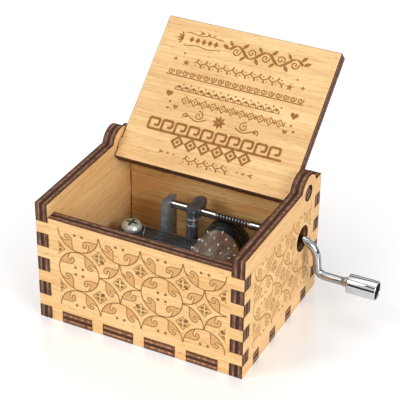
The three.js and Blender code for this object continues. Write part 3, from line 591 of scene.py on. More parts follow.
back_low, back_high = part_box("back_panel")
left_low, left_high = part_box("left_panel")
boards = {
    "front_panel": board_material("plywood_front", Y_AXIS, X_AXIS, front_low.y, 1),
    "back_panel": board_material(
        "plywood_back", Y_AXIS, X_AXIS, back_low.y, 2, 0.0, *back_birch_painted_light, shade_line_at=left_high.x
    ),
    "left_panel": board_material("plywood_left", X_AXIS, Y_AXIS, left_low.x, 3),
    "right_panel": board_material("plywood_right", X_AXIS, Y_AXIS, right_low.x, 4),
    "floor_panel": board_material("plywood_floor", Z_AXIS, X_AXIS, 0.0, 5, edge_tint=floor_edge_lightening),
    "lid": board_material("plywood_lid", Z_AXIS, X_AXIS, -board / 2, 6, -lid_turn, *lid_birch_painted_shade),
}
engraved_faces = {
    "front_panel": (Y_AXIS, -1),
    "back_panel": (Y_AXIS, 1),
    "left_panel": (X_AXIS, -1),
    "right_panel": (X_AXIS, 1),
}
for node, material in boards.items():
    body = "lid" if node == "lid" else "case"
    settled = (*engraved_faces[node], face_sink) if node in engraved_faces else None
    finished_solid(node, node + "_board", body, material, chamfer, smooth=False, settled=settled)
print("boards finished:", len(boards))

# %% [markdown]
# ## Laser engraving
# The same laser that cuts the boards also draws on them at low power, so the ornament is a brown
# stain a hair deep. It could be a picture on the walls, but a picture blurs as soon as one looks
# closely. It is made here as the machine makes it: one flat motif is drawn once from bands and
# filled areas, and a node tree repeats it over the field. A change of a motif changes them all.

# %% Drawing flat motifs
class Motif:
    """Flat shapes in millimetres, drawn as bands along lines and as filled areas."""

    def __init__(self):
        self.corners = []
        self.faces = []

    def area(self, points):
        """A filled outline; its points are put in the order that makes it face upwards."""
        turn = sum(a[0] * b[1] - b[0] * a[1] for a, b in zip(points, points[1:] + points[:1]))
        points = points if turn > 0 else points[::-1]
        first = len(self.corners)
        self.corners += points
        self.faces.append(tuple(range(first, first + len(points))))

    def band(self, points, width, closed=False):
        """A band of one width along the points; a list of widths makes it swell and taper."""
        count = len(points)
        widths = width if isinstance(width, list) else [width] * count
        first = len(self.corners)
        for index, (x, y) in enumerate(points):
            before = points[index - 1] if closed or index else points[0]
            after = points[(index + 1) % count] if closed or index + 1 < count else points[-1]
            along = Vector((after[0] - before[0], after[1] - before[1])).normalized()
            half = widths[index] / 2
            out_x, out_y = along.y * half, -along.x * half
            self.corners += [(x + out_x, y + out_y), (x - out_x, y - out_y)]
        for index in range(count if closed else count - 1):
            here = first + 2 * index
            there = first + 2 * ((index + 1) % count)
            self.faces.append((here, there, there + 1, here + 1))

    def dot(self, x, y, radius, sides=10):
        turns = [2 * math.pi * side / sides for side in range(sides)]
        self.area([(x + radius * math.cos(turn), y + radius * math.sin(turn)) for turn in turns])

    def mesh(self, name):
        """All the shapes as one flat mesh, in metres."""
        mesh = bpy.data.meshes.new(name)
        mesh.from_pydata([(x * MM, y * MM, 0) for x, y in self.corners], [], self.faces)
        return mesh


sample_dot = Motif()
sample_dot.dot(0, 0, 1.0)
print("a dot has", len(sample_dot.corners), "corners")

# %% [markdown]
# ### Arcs and spirals
# The ornament is built from two lines: the arc and the spiral. Curve objects could draw both, but
# as lists of points they can be bent, mirrored and tapered with plain sums before they are drawn.

# %% Arcs and spirals
def arc_points(x, y, radius, start, end, steps):
    """Points on an arc; the angles are in degrees."""
    turns = [math.radians(start + (end - start) * step / steps) for step in range(steps + 1)]
    return [(x + radius * math.cos(turn), y + radius * math.sin(turn)) for turn in turns]


def spiral_points(x, y, radius, start, turns, steps, core=0.12):
    """Points that wind outwards from a small core to the given radius."""
    points = []
    for step in range(steps + 1):
        share = step / steps
        angle = math.radians(start) + 2 * math.pi * turns * share
        reach = radius * (core + (1 - core) * share)
        points.append((x + reach * math.cos(angle), y + reach * math.sin(angle)))
    return points


print("a quarter arc in 16 steps has", len(arc_points(0, 0, 1, 0, 90, 16)), "points")

# %% [markdown]
# ### Trees that make shapes
# A node tree can make shapes as well as colours. Left on its object as a modifier, it would be worked
# out again by every export. Here each tree runs once on a small mesh, with its inputs filled in by
# name, and only the plain mesh that comes out is kept.

# %% Trees that make shapes
def new_geometry_tree(name, inputs):
    """A tree that takes in a shape, a material and the named inputs, and puts out one shape."""
    shape = {"Geometry": "NodeSocketGeometry"}
    inputs = {**shape, **inputs, "Material": "NodeSocketMaterial"}
    return new_group(name, "GeometryNodeTree", inputs, shape)


def hand_out(graph, shape, given, result):
    """The end of a tree: its shape gets the material and goes to the output."""
    finished = graph.add("GeometryNodeSetMaterial", {"Geometry": shape, "Material": given["Material"]})
    graph.give(result, {"Geometry": finished})
    return graph.tree


def evaluate_tree(mesh, tree, values):
    """Runs a tree on a mesh with its named inputs and gives back the plain mesh it makes."""
    carrier = bpy.data.objects.new("carrier", mesh)
    bpy.context.scene.collection.objects.link(carrier)
    modifier = carrier.modifiers.new(tree.name, "NODES")
    modifier.node_group = tree
    for item in tree.interface.items_tree:
        if item.item_type == "SOCKET" and item.in_out == "INPUT" and item.name in values:
            modifier[item.identifier] = values[item.name]
    evaluated = carrier.evaluated_get(bpy.context.evaluated_depsgraph_get())
    made = bpy.data.meshes.new_from_object(evaluated)
    bpy.data.objects.remove(carrier)
    return made


print("node groups so far:", ", ".join(tree.name for tree in bpy.data.node_groups))

# %% [markdown]
# ### Turning the tiles
# A wall's pattern is one tile many times over, turned by quarters so that four tiles close a
# circle. A larger tile with the whole circle would need no turning, but it would have to be drawn
# four times as large. The turn is worked out from the number of each cell.

# %% Turning the tiles
quarter_turn = math.pi / 2


def cell_number(graph, place, count, pitch):
    """The number of the cell that a place lies in, counted from the low end, and the middle's number."""
    middle = graph.math("MULTIPLY", graph.math("SUBTRACT", count, 1.0), 0.5)
    return graph.math("ROUND", graph.math("ADD", graph.math("DIVIDE", place, pitch), middle)), middle


def quarter_turns(graph, given):
    """How far each cell's tile is turned, so that four of them close a circle. Where a framed diamond
    stands in the middle rows, the four turn their circles outwards and leave it room."""
    place = graph.split(graph.add("GeometryNodeInputPosition"))
    column, _ = cell_number(graph, place[0], given["Columns"], given["Column Pitch"])
    row, middle_row = cell_number(graph, place[1], given["Rows"], given["Row Pitch"])
    odd_column, odd_row = (graph.math("MODULO", number, 2.0) for number in (column, row))
    in_diamond_column = graph.math("GREATER_THAN", graph.math("MODULO", column, 4.0), 1.5)
    from_middle = graph.math("ABSOLUTE", graph.math("SUBTRACT", row, middle_row))
    outwards = graph.math("MULTIPLY", in_diamond_column, graph.math("LESS_THAN", from_middle, 1.0))
    right = graph.math("ABSOLUTE", graph.math("SUBTRACT", graph.math("SUBTRACT", 1.0, odd_column), outwards))
    top = graph.math("ABSOLUTE", graph.math("SUBTRACT", odd_row, outwards))
    signed = graph.math("MULTIPLY", right, graph.math("SUBTRACT", 1.0, graph.math("MULTIPLY", top, 2.0)))
    quarters = graph.math("ADD", graph.math("MULTIPLY", top, 3.0), signed)
    angle = graph.math("MULTIPLY", quarters, quarter_turn)
    return graph.math("MULTIPLY", angle, given["Turned"])


print("a quarter turn in radians:", round(quarter_turn, 4))

# %% [markdown]
# ### Cutting the field and giving thickness
# The real pattern stops at the edge of its field, in the middle of a leaf if need be. The cut tiles
# could be drawn by hand, but faces can be deleted by their place. What is left gets a hair of
# thickness, so that it is a closed body and not loose paper.

# %% Cutting the field and giving thickness
seam_distance = 0.001 * MM


def outside_field(graph, given):
    """What lies beyond the field's half width and half height, or in its hole."""
    where = graph.add("GeometryNodeInputPosition")
    beyond_x, beyond_y = (
        graph.math("GREATER_THAN", graph.math("ABSOLUTE", place), given[limit])
        for place, limit in zip(graph.split(where), ("Half Width", "Half Height"))
    )
    hole_distance = graph.vector("DISTANCE", where, given["Hole"], 1)
    in_hole = graph.math("LESS_THAN", hole_distance, given["Hole Radius"])
    return graph.math("MAXIMUM", graph.math("MAXIMUM", beyond_x, beyond_y), in_hole)


def thickened(graph, flat, given):
    """Flat shapes as closed bodies, which reach as far below their plane as Sunk and above it as Proud."""
    thickness = graph.math("ADD", given["Sunk"], given["Proud"])
    extruded = {"Mesh": flat, "Offset Scale": thickness, "Individual": False}
    raised = graph.add("GeometryNodeExtrudeMesh", extruded)
    underside = graph.add("GeometryNodeFlipFaces", {0: flat})
    joined = graph.tree.nodes.new("GeometryNodeJoinGeometry")
    for half in (raised, underside):
        graph.tree.links.new(half, joined.inputs[0])
    welded = {"Geometry": joined.outputs[0], "Distance": seam_distance}
    closed = graph.add("GeometryNodeMergeByDistance", welded)
    depth = graph.add("ShaderNodeCombineXYZ", {2: graph.math("MULTIPLY", given["Sunk"], -1.0)})
    return graph.add("GeometryNodeTransform", {"Geometry": closed, "Translation": depth})


print("seams are welded within", seam_distance / MM, "mm")

# %% [markdown]
# ### One tree for every pattern
# The walls' tiles, the diamonds and the lid's borders differ only in what is repeated and how often.
# Copies could be placed by a loop for each, but one tree with named inputs does for all of them: it
# sets the motif on a grid, cuts it, thickens it and lays it on its board.

# %% The tree that repeats a motif over a field
def repeat_tree():
    number, value, vector = "NodeSocketInt", "NodeSocketFloat", "NodeSocketVector"
    inputs = {"Columns": number, "Rows": number, "Column Pitch": value, "Row Pitch": value, "Turned": value}
    inputs |= {"Half Width": value, "Half Height": value, "Hole": vector, "Hole Radius": value}
    inputs |= {"Sunk": value, "Proud": value, "Place": vector, "Turn": vector}
    graph, given, result = new_geometry_tree("repeat_over_field", inputs)
    size_x, size_y = (
        graph.math("MULTIPLY", graph.math("SUBTRACT", given[count], 1.0), given[pitch])
        for count, pitch in (("Columns", "Column Pitch"), ("Rows", "Row Pitch"))
    )
    grid = {"Size X": size_x, "Size Y": size_y, "Vertices X": given["Columns"], "Vertices Y": given["Rows"]}
    turn = graph.add("ShaderNodeCombineXYZ", {2: quarter_turns(graph, given)})
    placed = {"Points": graph.add("GeometryNodeMeshGrid", grid), "Instance": given["Geometry"]}
    placed["Rotation"] = graph.add("FunctionNodeEulerToRotation", {0: turn})
    flat = graph.add("GeometryNodeRealizeInstances", {0: graph.add("GeometryNodeInstanceOnPoints", placed)})
    cut = {"Geometry": flat, "Selection": outside_field(graph, given)}
    kept = graph.add("GeometryNodeDeleteGeometry", cut, domain="FACE")
    laid = {"Geometry": thickened(graph, kept, given), "Translation": given["Place"]}
    laid["Rotation"] = graph.add("FunctionNodeEulerToRotation", {0: given["Turn"]})
    return hand_out(graph, graph.add("GeometryNodeTransform", laid), given, result)


repeat_over_field = repeat_tree()
print("repeat_over_field:", len(repeat_over_field.nodes), "nodes")

# %% [markdown]
# ### The stain of the laser
# Engraved wood isn't black: it is toasted, darker where the beam slowed down, with the faint lines
# of the raster across it. One brown for all would be simpler, but lines, leaves and the lid's rows
# were burnt with different power, and the side walls more faintly than the front. So the same
# material is made several times, each time with its own pair of browns.

# %% Engraving materials
raster_pitch = 0.3 * MM
raster_turns = 2 * math.pi / raster_pitch


def engraving_material(name, dark, light):
    """A burnt stain: brown that breaks up with the grain and with the laser's fine raster lines."""
    material, graph, shader, coordinates = new_material(name)
    where = coordinates.outputs["Object"]
    cloud = graph.noise(where, 900.0, detail=3.0, roughness=0.6)
    lines = graph.math("SINE", graph.vector("DOT_PRODUCT", where, (0, 0, raster_turns), 1))
    lines = graph.math("MULTIPLY", graph.math("ADD", lines, 1.0), 0.5)
    mask = graph.math("ADD", graph.math("MULTIPLY", cloud, 0.7), graph.math("MULTIPLY", lines, 0.3))
    graph.give(shader, {
        "Base Color": graph.mix(graph.remap(mask, 0.25, 0.75), dark, light),
        "Roughness": 0.7,
        "Specular IOR Level": 0.2,
        "Normal": graph.bump(mask, 0.2, 0.02 * MM),
    })
    return material


engraved_line = engraving_material("engraved_line", srgb(118, 82, 40), srgb(164, 122, 68))
engraved_leaf = engraving_material("engraved_leaf", srgb(204, 148, 92), srgb(234, 184, 124))
faint_line = engraving_material("faint_line", srgb(150, 106, 58), srgb(190, 144, 88))
faint_leaf = engraving_material("faint_leaf", srgb(216, 164, 106), srgb(240, 192, 132))
engraved_lid = engraving_material("engraved_lid", srgb(128, 80, 38), srgb(176, 122, 66))
print("raster pitch in mm:", raster_pitch / MM)

# %% [markdown]
# ### A soft line through a few corners
# The engraved leaves have curled outlines. A curve object could hold them, but each of its handles
# has to be set. A smoothing that passes through every corner needs only the corners.

# %% A soft line through a few corners
def soft_step(share, before, start, end, after):
    """A value between start and end that leaves and arrives in line with its neighbours."""
    pull, push, rest = (end - before) / 2, (after - start) / 2, end - start
    curve = 3 * rest - 2 * pull - push + share * (pull + push - 2 * rest)
    return start + share * (pull + share * curve)


def smoothed(points, steps=3):
    """A soft line through all the points, from the first to the last."""
    padded = [points[0]] + points + [points[-1]]
    line = []
    for neighbours in zip(padded, padded[1:], padded[2:], padded[3:]):
        for step in range(steps):
            line.append(tuple(soft_step(step / steps, *values) for values in zip(*neighbours)))
    return line + [points[-1]]


print("four corners become", len(smoothed([(0, 0), (1, 0), (1, 1), (0, 1)])), "points")

# %% [markdown]
# ### The walls' tile
# The pattern is circles that touch, with curled leaves along their inside, dots, and framed
# diamonds in the gaps. A quarter circle with one leaf and one dot is enough to make all of it. Its
# lines and its leaves are separate flat shapes, because they have different browns. A leaf is drawn
# from a few corners and smoothed, which is easier to correct than a formula.

# %% The quarter tile of the walls' ornament
# The leaf's base is two angles and a share of the circle's radius; its corners are an angle and a share.
tile = 6.475
line_width = 0.32
arc_radius = tile - 0.14
leaf_base = (72, 27, 0.98)
leaf_corners = [(67, 0.8), (60, 0.62), (48, 0.52), (35, 0.5), (25, 0.56), (20, 0.67), (25, 0.77), (33, 0.75)]
leaf_notch = [(37, 0.66), (42, 0.7), (42, 0.79), (35, 0.88)]
dot_place = 1.15
dot_radius = 0.46
corner = -tile / 2


def on_circle(angle, share):
    """A point of the tile: degrees round the circle's centre and the share of its radius."""
    turn = math.radians(angle)
    return (corner + arc_radius * share * math.cos(turn), corner + arc_radius * share * math.sin(turn))


def leaf_outline():
    """A leaf that grows from the circle's line and curls its tip back, like a breaking wave."""
    base_start, base_end, base_share = leaf_base
    path = [(base_start, base_share)] + leaf_corners + leaf_notch + [(base_end, base_share)]
    return smoothed([on_circle(*place) for place in path])


def quarter_lines():
    """The dark lines of the tile: a quarter circle, the leaf's outline and a dot."""
    motif = Motif()
    motif.band(arc_points(corner, corner, arc_radius, 0, 90, 16), line_width)
    motif.band(leaf_outline(), line_width * 0.8)
    motif.dot(corner + dot_place, corner + dot_place, dot_radius)
    return motif.mesh("quarter_lines")


def quarter_leaf():
    """The pale stain inside the leaf's outline."""
    motif = Motif()
    base_start, base_end, base_share = leaf_base
    base = arc_points(corner, corner, arc_radius * base_share, base_end, base_start, 6)
    motif.area(leaf_outline() + base[1:-1])
    return motif.mesh("quarter_leaf")


print("tile in mm:", tile, "with a leaf of", len(leaf_outline()), "points")

# %% [markdown]
# ### The framed diamond
# Between four circles stands a small square on its corner. Inside it four dark wedges leave a pale
# star free. The star could be cut out of a dark square, but wedges are simple areas without holes.

# %% The framed diamond
diamond_reach = 2.15
wedge_foot, wedge_half, wedge_tip = 0.56, 0.42, 0.16


def diamond(reach):
    """The four corners of a square that stands on its corner."""
    return [(reach, 0), (0, reach), (-reach, 0), (0, -reach)]


def framed_diamond():
    """A square on its corner with four dark wedges, which leave a pale star between them."""
    motif = Motif()
    reach = diamond_reach
    motif.band(diamond(reach), line_width, closed=True)
    for quarter in range(4):
        turn = math.radians(45 + 90 * quarter)
        out = Vector((math.cos(turn), math.sin(turn)))
        side = Vector((-out.y, out.x))
        foot, half = out * reach * wedge_foot, side * reach * wedge_half
        wedge = [foot + half, foot - half, out * reach * wedge_tip]
        motif.area([tuple(point) for point in wedge])
    return motif.mesh("framed_diamond")


print("diamond's reach in mm:", diamond_reach)

# %% [markdown]
# ### Ornament on the walls
# Each wall was engraved flat, before the box was glued. Lines and leaves could be one piece with two
# materials, but two pieces with one each are simpler to change. The tree runs once for the tiles'
# lines, twice for the diamonds, and once for the leaves, which lie a hair lower so that no two
# surfaces share a plane. The pattern on the right wall stays clear of the crank's hole.

# %% The ornament laid on the walls
engraving_sunk = 0.03 * MM
leaf_lower = 0.006 * MM
wall_rows = 4


def repeated(mesh, columns, rows, pitch_x, pitch_y, place, turn, material, **more):
    """One motif over a field, as a plain mesh in its place. Lengths in more are in metres."""
    values = {"Columns": columns, "Rows": rows, "Column Pitch": pitch_x * MM, "Row Pitch": pitch_y * MM}
    values |= {"Turned": 0.0, "Half Width": 1.0, "Half Height": 1.0, "Hole": (0, 0, 0), "Hole Radius": 0.0}
    values |= {"Sunk": engraving_sunk, "Proud": engraving_proud}
    values |= {"Place": place, "Turn": turn, "Material": material}
    return evaluate_tree(mesh, repeat_over_field, values | more)


def join_meshes(name, meshes, body, material):
    """Joins finished meshes of one material into one piece."""
    bm = bmesh.new()
    for mesh in meshes:
        bm.from_mesh(mesh)
    return link_piece(name, bm, body, material)


def ornament_on_wall(name, centre, turn, columns, offset, stains, hole=None, hole_radius=0.0):
    """Circles, leaves and diamonds over one wall; offset shifts the diamonds to the tiles' joints."""
    line_stain, leaf_stain = stains
    field = {"Half Width": columns * tile / 2 * MM, "Half Height": wall_rows * tile / 2 * MM}
    if hole:
        field |= {"Hole": hole, "Hole Radius": hole_radius}
    drawn = {"turn": turn, "material": line_stain}
    circles = repeated(quarter_lines(), columns, wall_rows, tile, tile, centre, Turned=1.0, **drawn, **field)
    diamonds = repeated(framed_diamond(), columns // 2 + 1, 2, 2 * tile, 2 * tile, centre, **drawn, **field)
    shift = Matrix.Rotation(turn[2], 3, "Z") @ Vector((offset * tile * MM, 0, 0))
    star_place = tuple(Vector(centre) + shift)
    stars = repeated(framed_diamond(), columns // 4, 1, 4 * tile, tile, star_place, **drawn)
    join_meshes(name + "_engraved_lines", [circles, diamonds, stars], "case", line_stain)
    field["Proud"] = engraving_proud - leaf_lower
    drawn["material"] = leaf_stain
    leaves = repeated(quarter_leaf(), columns, wall_rows, tile, tile, centre, Turned=1.0, **drawn, **field)
    join_meshes(name + "_engraved_leaves", [leaves], "case", leaf_stain)


print("leaves lie lower by", leaf_lower / MM, "mm")

# %% [markdown]
# ### Four engraved walls
# The front and the back carry the darker stains and the sides the fainter ones. The places of the
# outer faces could be typed in, but read from the solids they stay right when the box changes.

# %% Four engraved walls
pattern_middle = 19.3 * MM
front_shift = 0.9 * MM
front_face, back_face = front_low.y + face_sink, back_high.y - face_sink
left_face, right_face = left_low.x + face_sink, right_high.x - face_sink
to_front, to_back = (quarter_turn, 0, 0), (quarter_turn, 0, 2 * quarter_turn)
to_left, to_right = (quarter_turn, 0, -quarter_turn), (quarter_turn, 0, quarter_turn)
hole_on_wall = (shaft_point.y, shaft_point.z - pattern_middle, 0)
hole_clearance = 5.2 * MM
clear_stains = (engraved_line, engraved_leaf)
faint_stains = (faint_line, faint_leaf)
ornament_on_wall("front", (front_shift, front_face, pattern_middle), to_front, 8, 1, clear_stains)
ornament_on_wall("back", (0, back_face, pattern_middle), to_back, 8, 1, clear_stains)
ornament_on_wall("left", (left_face, 0, pattern_middle), to_left, 6, 0, faint_stains)
right_centre = (right_face, 0, pattern_middle)
ornament_on_wall("right", right_centre, to_right, 6, 0, faint_stains, hole_on_wall, hole_clearance)
print("ornament laid on four walls in", wall_rows, "rows of tiles")

# %% [markdown]
# ### Small shapes for the lid
# The inside of the lid carries rows of plain traditional borders, with stars, hearts, leaves and
# dots among them. Such shapes could be drawn corner by corner, but each has a short formula that
# gives it at any size.

# %% Small shapes for the lid
leaf_gap = 0.12
star_waist = 0.42


def star_area(motif, x, y, radius):
    """A star with five points."""
    turns = [math.pi / 2 + math.pi * step / 5 for step in range(10)]
    reaches = [radius, radius * star_waist] * 5
    points = [(x + reach * math.cos(turn), y + reach * math.sin(turn)) for turn, reach in zip(turns, reaches)]
    motif.area(points)


def heart_area(motif, x, y, width):
    """The well-known heart curve; its unit curve is 32 wide."""
    points = []
    for step in range(24):
        turn = 2 * math.pi * step / 24
        across = 16 * math.sin(turn) ** 3
        up = 13 * math.cos(turn) - 5 * math.cos(2 * turn) - 2 * math.cos(3 * turn) - math.cos(4 * turn)
        points.append((x + across * width / 32, y + up * width / 32))
    motif.area(points)


def small_dot(motif, x, y, radius):
    """A dot with eight sides, for places where it stays small."""
    motif.dot(x, y, radius, 8)


def leaf_area(motif, x, y, angle, length, width, steps=6):
    """An almond leaf that starts just off the point and runs along the angle, in degrees."""
    along = Vector((math.cos(math.radians(angle)), math.sin(math.radians(angle))))
    across = Vector((-along.y, along.x))
    x += along.x * leaf_gap
    y += along.y * leaf_gap
    sides = []
    for side in (1, -1):
        for step in range(steps):
            share = step / steps if side > 0 else 1 - step / steps
            point = along * length * share + across * side * width / 2 * math.sin(math.pi * share)
            sides.append((x + point.x, y + point.y))
    motif.area(sides)


print("leaves start", leaf_gap, "mm off their point, and a star narrows to", star_waist)

# %% [markdown]
# ### Fine borders for the lid
# A garland, a running wave, arcades and lozenges. Each row could be drawn from end to end, but all
# of them are one small unit that comes back, so only the unit is drawn and its pitch is named. Its
# lines lap a little over the neighbour's, which leaves no gap.

# %% Fine borders for the lid
fine_line = 0.36
garland_pitch, wave_pitch, arcade_pitch, lozenge_pitch = 2.9, 2.32, 2.42, 3.02


def base_line(pitch, height):
    """A unit's share of the line below its row; it laps a little over its neighbour's."""
    lap = 0.02
    return [(-pitch / 2 - lap, height), (pitch / 2 + lap, height)]


def garland_unit():
    """One wave of a stem with two leaves and two berries."""
    motif = Motif()
    pitch, rise = garland_pitch, 0.32
    wave = [(pitch * (step / 12 - 0.5), rise * math.sin(2 * math.pi * step / 12)) for step in range(13)]
    wave = [(x * 1.01, y) for x, y in wave]
    motif.band(wave, fine_line)
    leaf_area(motif, -pitch * 0.28, rise * 0.8, 62, 1.25, 0.62)
    leaf_area(motif, pitch * 0.22, -rise * 0.8, -62, 1.25, 0.62)
    small_dot(motif, pitch * 0.2, 0.75, 0.24)
    small_dot(motif, -pitch * 0.3, -0.75, 0.24)
    return motif.mesh("garland_unit")


def wave_unit():
    """One wave of a running border: a curl on a line."""
    motif = Motif()
    motif.band(spiral_points(0.1, 0.12, 1.0, 250, 1.4, 22), fine_line)
    motif.band(base_line(wave_pitch, -1.15), fine_line)
    return motif.mesh("wave_unit")


def arcade_unit():
    """An arch over a leaf, with a dot between it and the next arch."""
    motif = Motif()
    motif.band(arc_points(0, -1.1, 1.0, 0, 180, 12), fine_line)
    leaf_area(motif, 0, -1.0, 90, 1.3, 0.6)
    small_dot(motif, arcade_pitch / 2, 0.75, 0.3)
    motif.band(base_line(arcade_pitch, -1.2), fine_line * 0.8)
    return motif.mesh("arcade_unit")


def lozenge_unit():
    """A lozenge with a dot in it, and an upright stroke beside it."""
    motif = Motif()
    motif.band(diamond(1.15), fine_line * 1.3, closed=True)
    small_dot(motif, 0, 0, 0.3)
    motif.band([(lozenge_pitch / 2, -0.75), (lozenge_pitch / 2, 0.75)], fine_line)
    return motif.mesh("lozenge_unit")


print("pitches in mm:", garland_pitch, wave_pitch, arcade_pitch, lozenge_pitch)

# %% [markdown]
# ### Bold borders for the lid
# Two rows lower down are burnt much bolder: a key pattern, and diamonds that hang under it. The fine
# units could be drawn with a thick line, but it would fill them up. So these are larger and simpler.

# %% Bold borders for the lid
bold_line = 0.8
key_height, key_pitch = 3.4, 4.3


def key_unit():
    """One turn of the bold key border, drawn as a square spiral that runs on into the next."""
    motif = Motif()
    side, pitch = key_height / 2, key_pitch / 2
    right, inner = pitch * 0.45, side * 0.2
    path = [(-pitch, -side), (-pitch, side), (right, side), (right, -inner), (-pitch * 0.2, -inner)]
    for start, end in zip(path, path[1:]):
        motif.band([start, end], bold_line)
    motif.band(base_line(key_pitch, -side), bold_line)
    return motif.mesh("key_unit")


def diamond_row_unit():
    """A bold diamond with a small one inside it."""
    motif = Motif()
    reach = key_height / 2
    motif.band(diamond(reach), bold_line * 1.3, closed=True)
    motif.area(diamond(reach * 0.4))
    return motif.mesh("diamond_row_unit")


print("bold rows have a height of", key_height, "and a pitch of", key_pitch, "mm")

# %% [markdown]
# ### Flourishes for the lid
# Larger pieces stand once: a vine along the top, a banner of diamonds, arrow heads and scrolls. A
# pen would swell and taper its lines. The bands can do that too, because they take a list of widths,
# and a spiral drawn with a sideways factor gives its own mirror image.

# %% Flourishes for the lid
def scroll(motif, x, y, size, side):
    """A flourish: one spiral up and one down on a drawn-out stem; side 1 or -1 mirrors it."""
    big = spiral_points(0, 0, size, 200, -1.35, 24)
    small = spiral_points(size * 2.5, -size * 0.55, size * 0.62, 20, -1.2, 18)
    stem = []
    for step in range(15):
        sway = math.sin(step * 0.42 - 0.9)
        stem.append((size * (step * 0.3 - 1.7), -size * (0.8 + 0.35 * sway)))
    for line in (big, small, stem):
        motif.band([(x + side * px, y + py) for px, py in line], fine_line)


def top_vine():
    """A bold vine along the top: a swelling wave with curls and leaves."""
    motif = Motif()
    length, rise, steps = 23.4, 1.5, 60
    sways = [5 * math.pi * step / steps for step in range(steps + 1)]
    spine = [(length * (step / steps - 0.5), rise * math.sin(sway)) for step, sway in enumerate(sways)]
    motif.band(spine, [0.35 + 0.55 * abs(math.cos(sway)) for sway in sways])
    for turn in range(5):
        x = length * ((turn + 0.5) / 5 - 0.5)
        up = 1 if turn % 2 == 0 else -1
        curl = spiral_points(0, 0, 1.35, -90, 1.3, 22)
        motif.band([(x + px, up * (py - 0.3)) for px, py in curl], 0.42)
        leaf_area(motif, x + 1.4, up * 1.0, up * 48, 2.5, 1.1)
        leaf_area(motif, x - 1.4, up * 1.0, up * 132, 2.3, 1.0)
    leaf_area(motif, length / 2, 0, 25, 2.6, 1.2)
    leaf_area(motif, -length / 2, 0, 155, 2.6, 1.2)
    return motif.mesh("top_vine")


def banner():
    """Two drawn-out strokes round a row of diamonds, with a sprig at the left."""
    motif = Motif()
    for side in (1, -1):
        motif.band([(x, side * (1.9 + 0.25 * math.sin(x * 0.9))) for x in range(-6, 7)], fine_line * 0.8)
    for step in range(5):
        x = step * 2 - 4
        motif.area([(x - 0.8, 0), (x, 1.0), (x + 0.8, 0), (x, -1.0)])
    for angle in range(120, 241, 30):
        leaf_area(motif, -6.6, 0, angle, 2.2, 0.55)
    return motif.mesh("banner")


def arrow_unit(side):
    """A line of three arrow heads that grow smaller; side 1 or -1 mirrors it."""
    motif = Motif()
    for x, size in ((-2.2, 1.0), (0, 0.75), (1.9, 0.55)):
        head = [(x - size, size * 0.7), (x + size, 0), (x - size, -size * 0.7), (x - size * 0.4, 0)]
        motif.area([(side * px, py) for px, py in head])
    return motif.mesh("arrow_unit")


vine = top_vine()
print("the vine has", len(vine.polygons), "faces")

# %% [markdown]
# ### Places on the lid
# The rows have to lie on the lid's underside, which leans. They could be placed flat and turned
# afterwards, but the underside is there on the solid to be measured. Rows are placed by how far down
# they stand between its lip and its pivot, so they keep their places if the lid leans another way.

# %% Places on the lid
lid_mesh = frame["nodes"]["lid"].data
lid_along = Vector((0, math.cos(lid_lean), math.sin(lid_lean)))
under_faces = [face for face in lid_mesh.polygons if face.normal.dot(lid_up) > 0.999]
under_corners = [lid_mesh.vertices[index].co for face in under_faces for index in face.vertices]
lip_reach = max(point.dot(lid_along) for point in under_corners)
back_reach = min(point.dot(lid_along) for point in under_corners)
under_height = max(point.dot(lid_up) for point in under_corners)
lid_length = (lip_reach - back_reach) / MM
lid_centre = lid_along * (lip_reach + back_reach) / 2 + lid_up * under_height


def lid_place(across, down_share):
    """A point on the lid's underside: millimetres from its middle, and the share from its lip."""
    up = (0.5 - down_share) * lid_length * MM
    return tuple(lid_centre + Vector((across * MM, 0, 0)) + lid_along * up)


def lid_row(unit, count, pitch, across, down_share):
    place = lid_place(across, down_share)
    return repeated(unit, count, 1, pitch, pitch, place, (lid_lean, 0, 0), engraved_lid)


print("the lid's underside is", round(lid_length, 1), "mm long")

# %% [markdown]
# ### Marks that stand alone
# Beside the rows stand single stars, dots and hearts, two scrolls and a flower. Each could be an
# object of its own, but all are one stain on one board, so they are drawn into one motif.

# %% Marks that stand alone
# Each mark: its shape, millimetres across, the share from the lip, and its size.
marks = (
    (star_area, -17.2, 0.291, 1.15), (star_area, -20.9, 0.278, 0.8), (star_area, 16.2, 0.294, 1.15),
    (star_area, 20.2, 0.282, 0.8), (small_dot, -18.7, 0.232, 0.35), (small_dot, 17.8, 0.235, 0.35),
    (heart_area, -18.7, 0.512, 2.3), (small_dot, -17.5, 0.565, 0.4), (heart_area, -15.3, 0.592, 1.6),
    (small_dot, -17.6, 0.608, 0.4), (heart_area, 20.7, 0.468, 2.5), (small_dot, 20.7, 0.534, 0.4),
    (heart_area, 19.5, 0.581, 1.6), (small_dot, 22.0, 0.569, 0.45),
)
scroll_share, flower_share = 0.615, 0.625


def single_marks():
    """The stars, dots and hearts beside the rows, two scrolls and a flower."""
    motif = Motif()
    for draw, across, down_share, size in marks:
        draw(motif, across, (0.5 - down_share) * lid_length, size)
    for side in (1, -1):
        scroll(motif, side * 7.3, (0.5 - scroll_share) * lid_length, 1.55, side)
    flower_height = (0.5 - flower_share) * lid_length
    for petal in range(8):
        leaf_area(motif, -0.5, flower_height, 45 * petal, 2.0, 0.85)
    return motif.mesh("single_marks")


print("single marks:", len(marks))

# %% [markdown]
# ### Rows on the lid
# Every row is the same call with other values, so the calls could stand one below the other. As a
# table the values are easier to compare, and a loop does the rest.

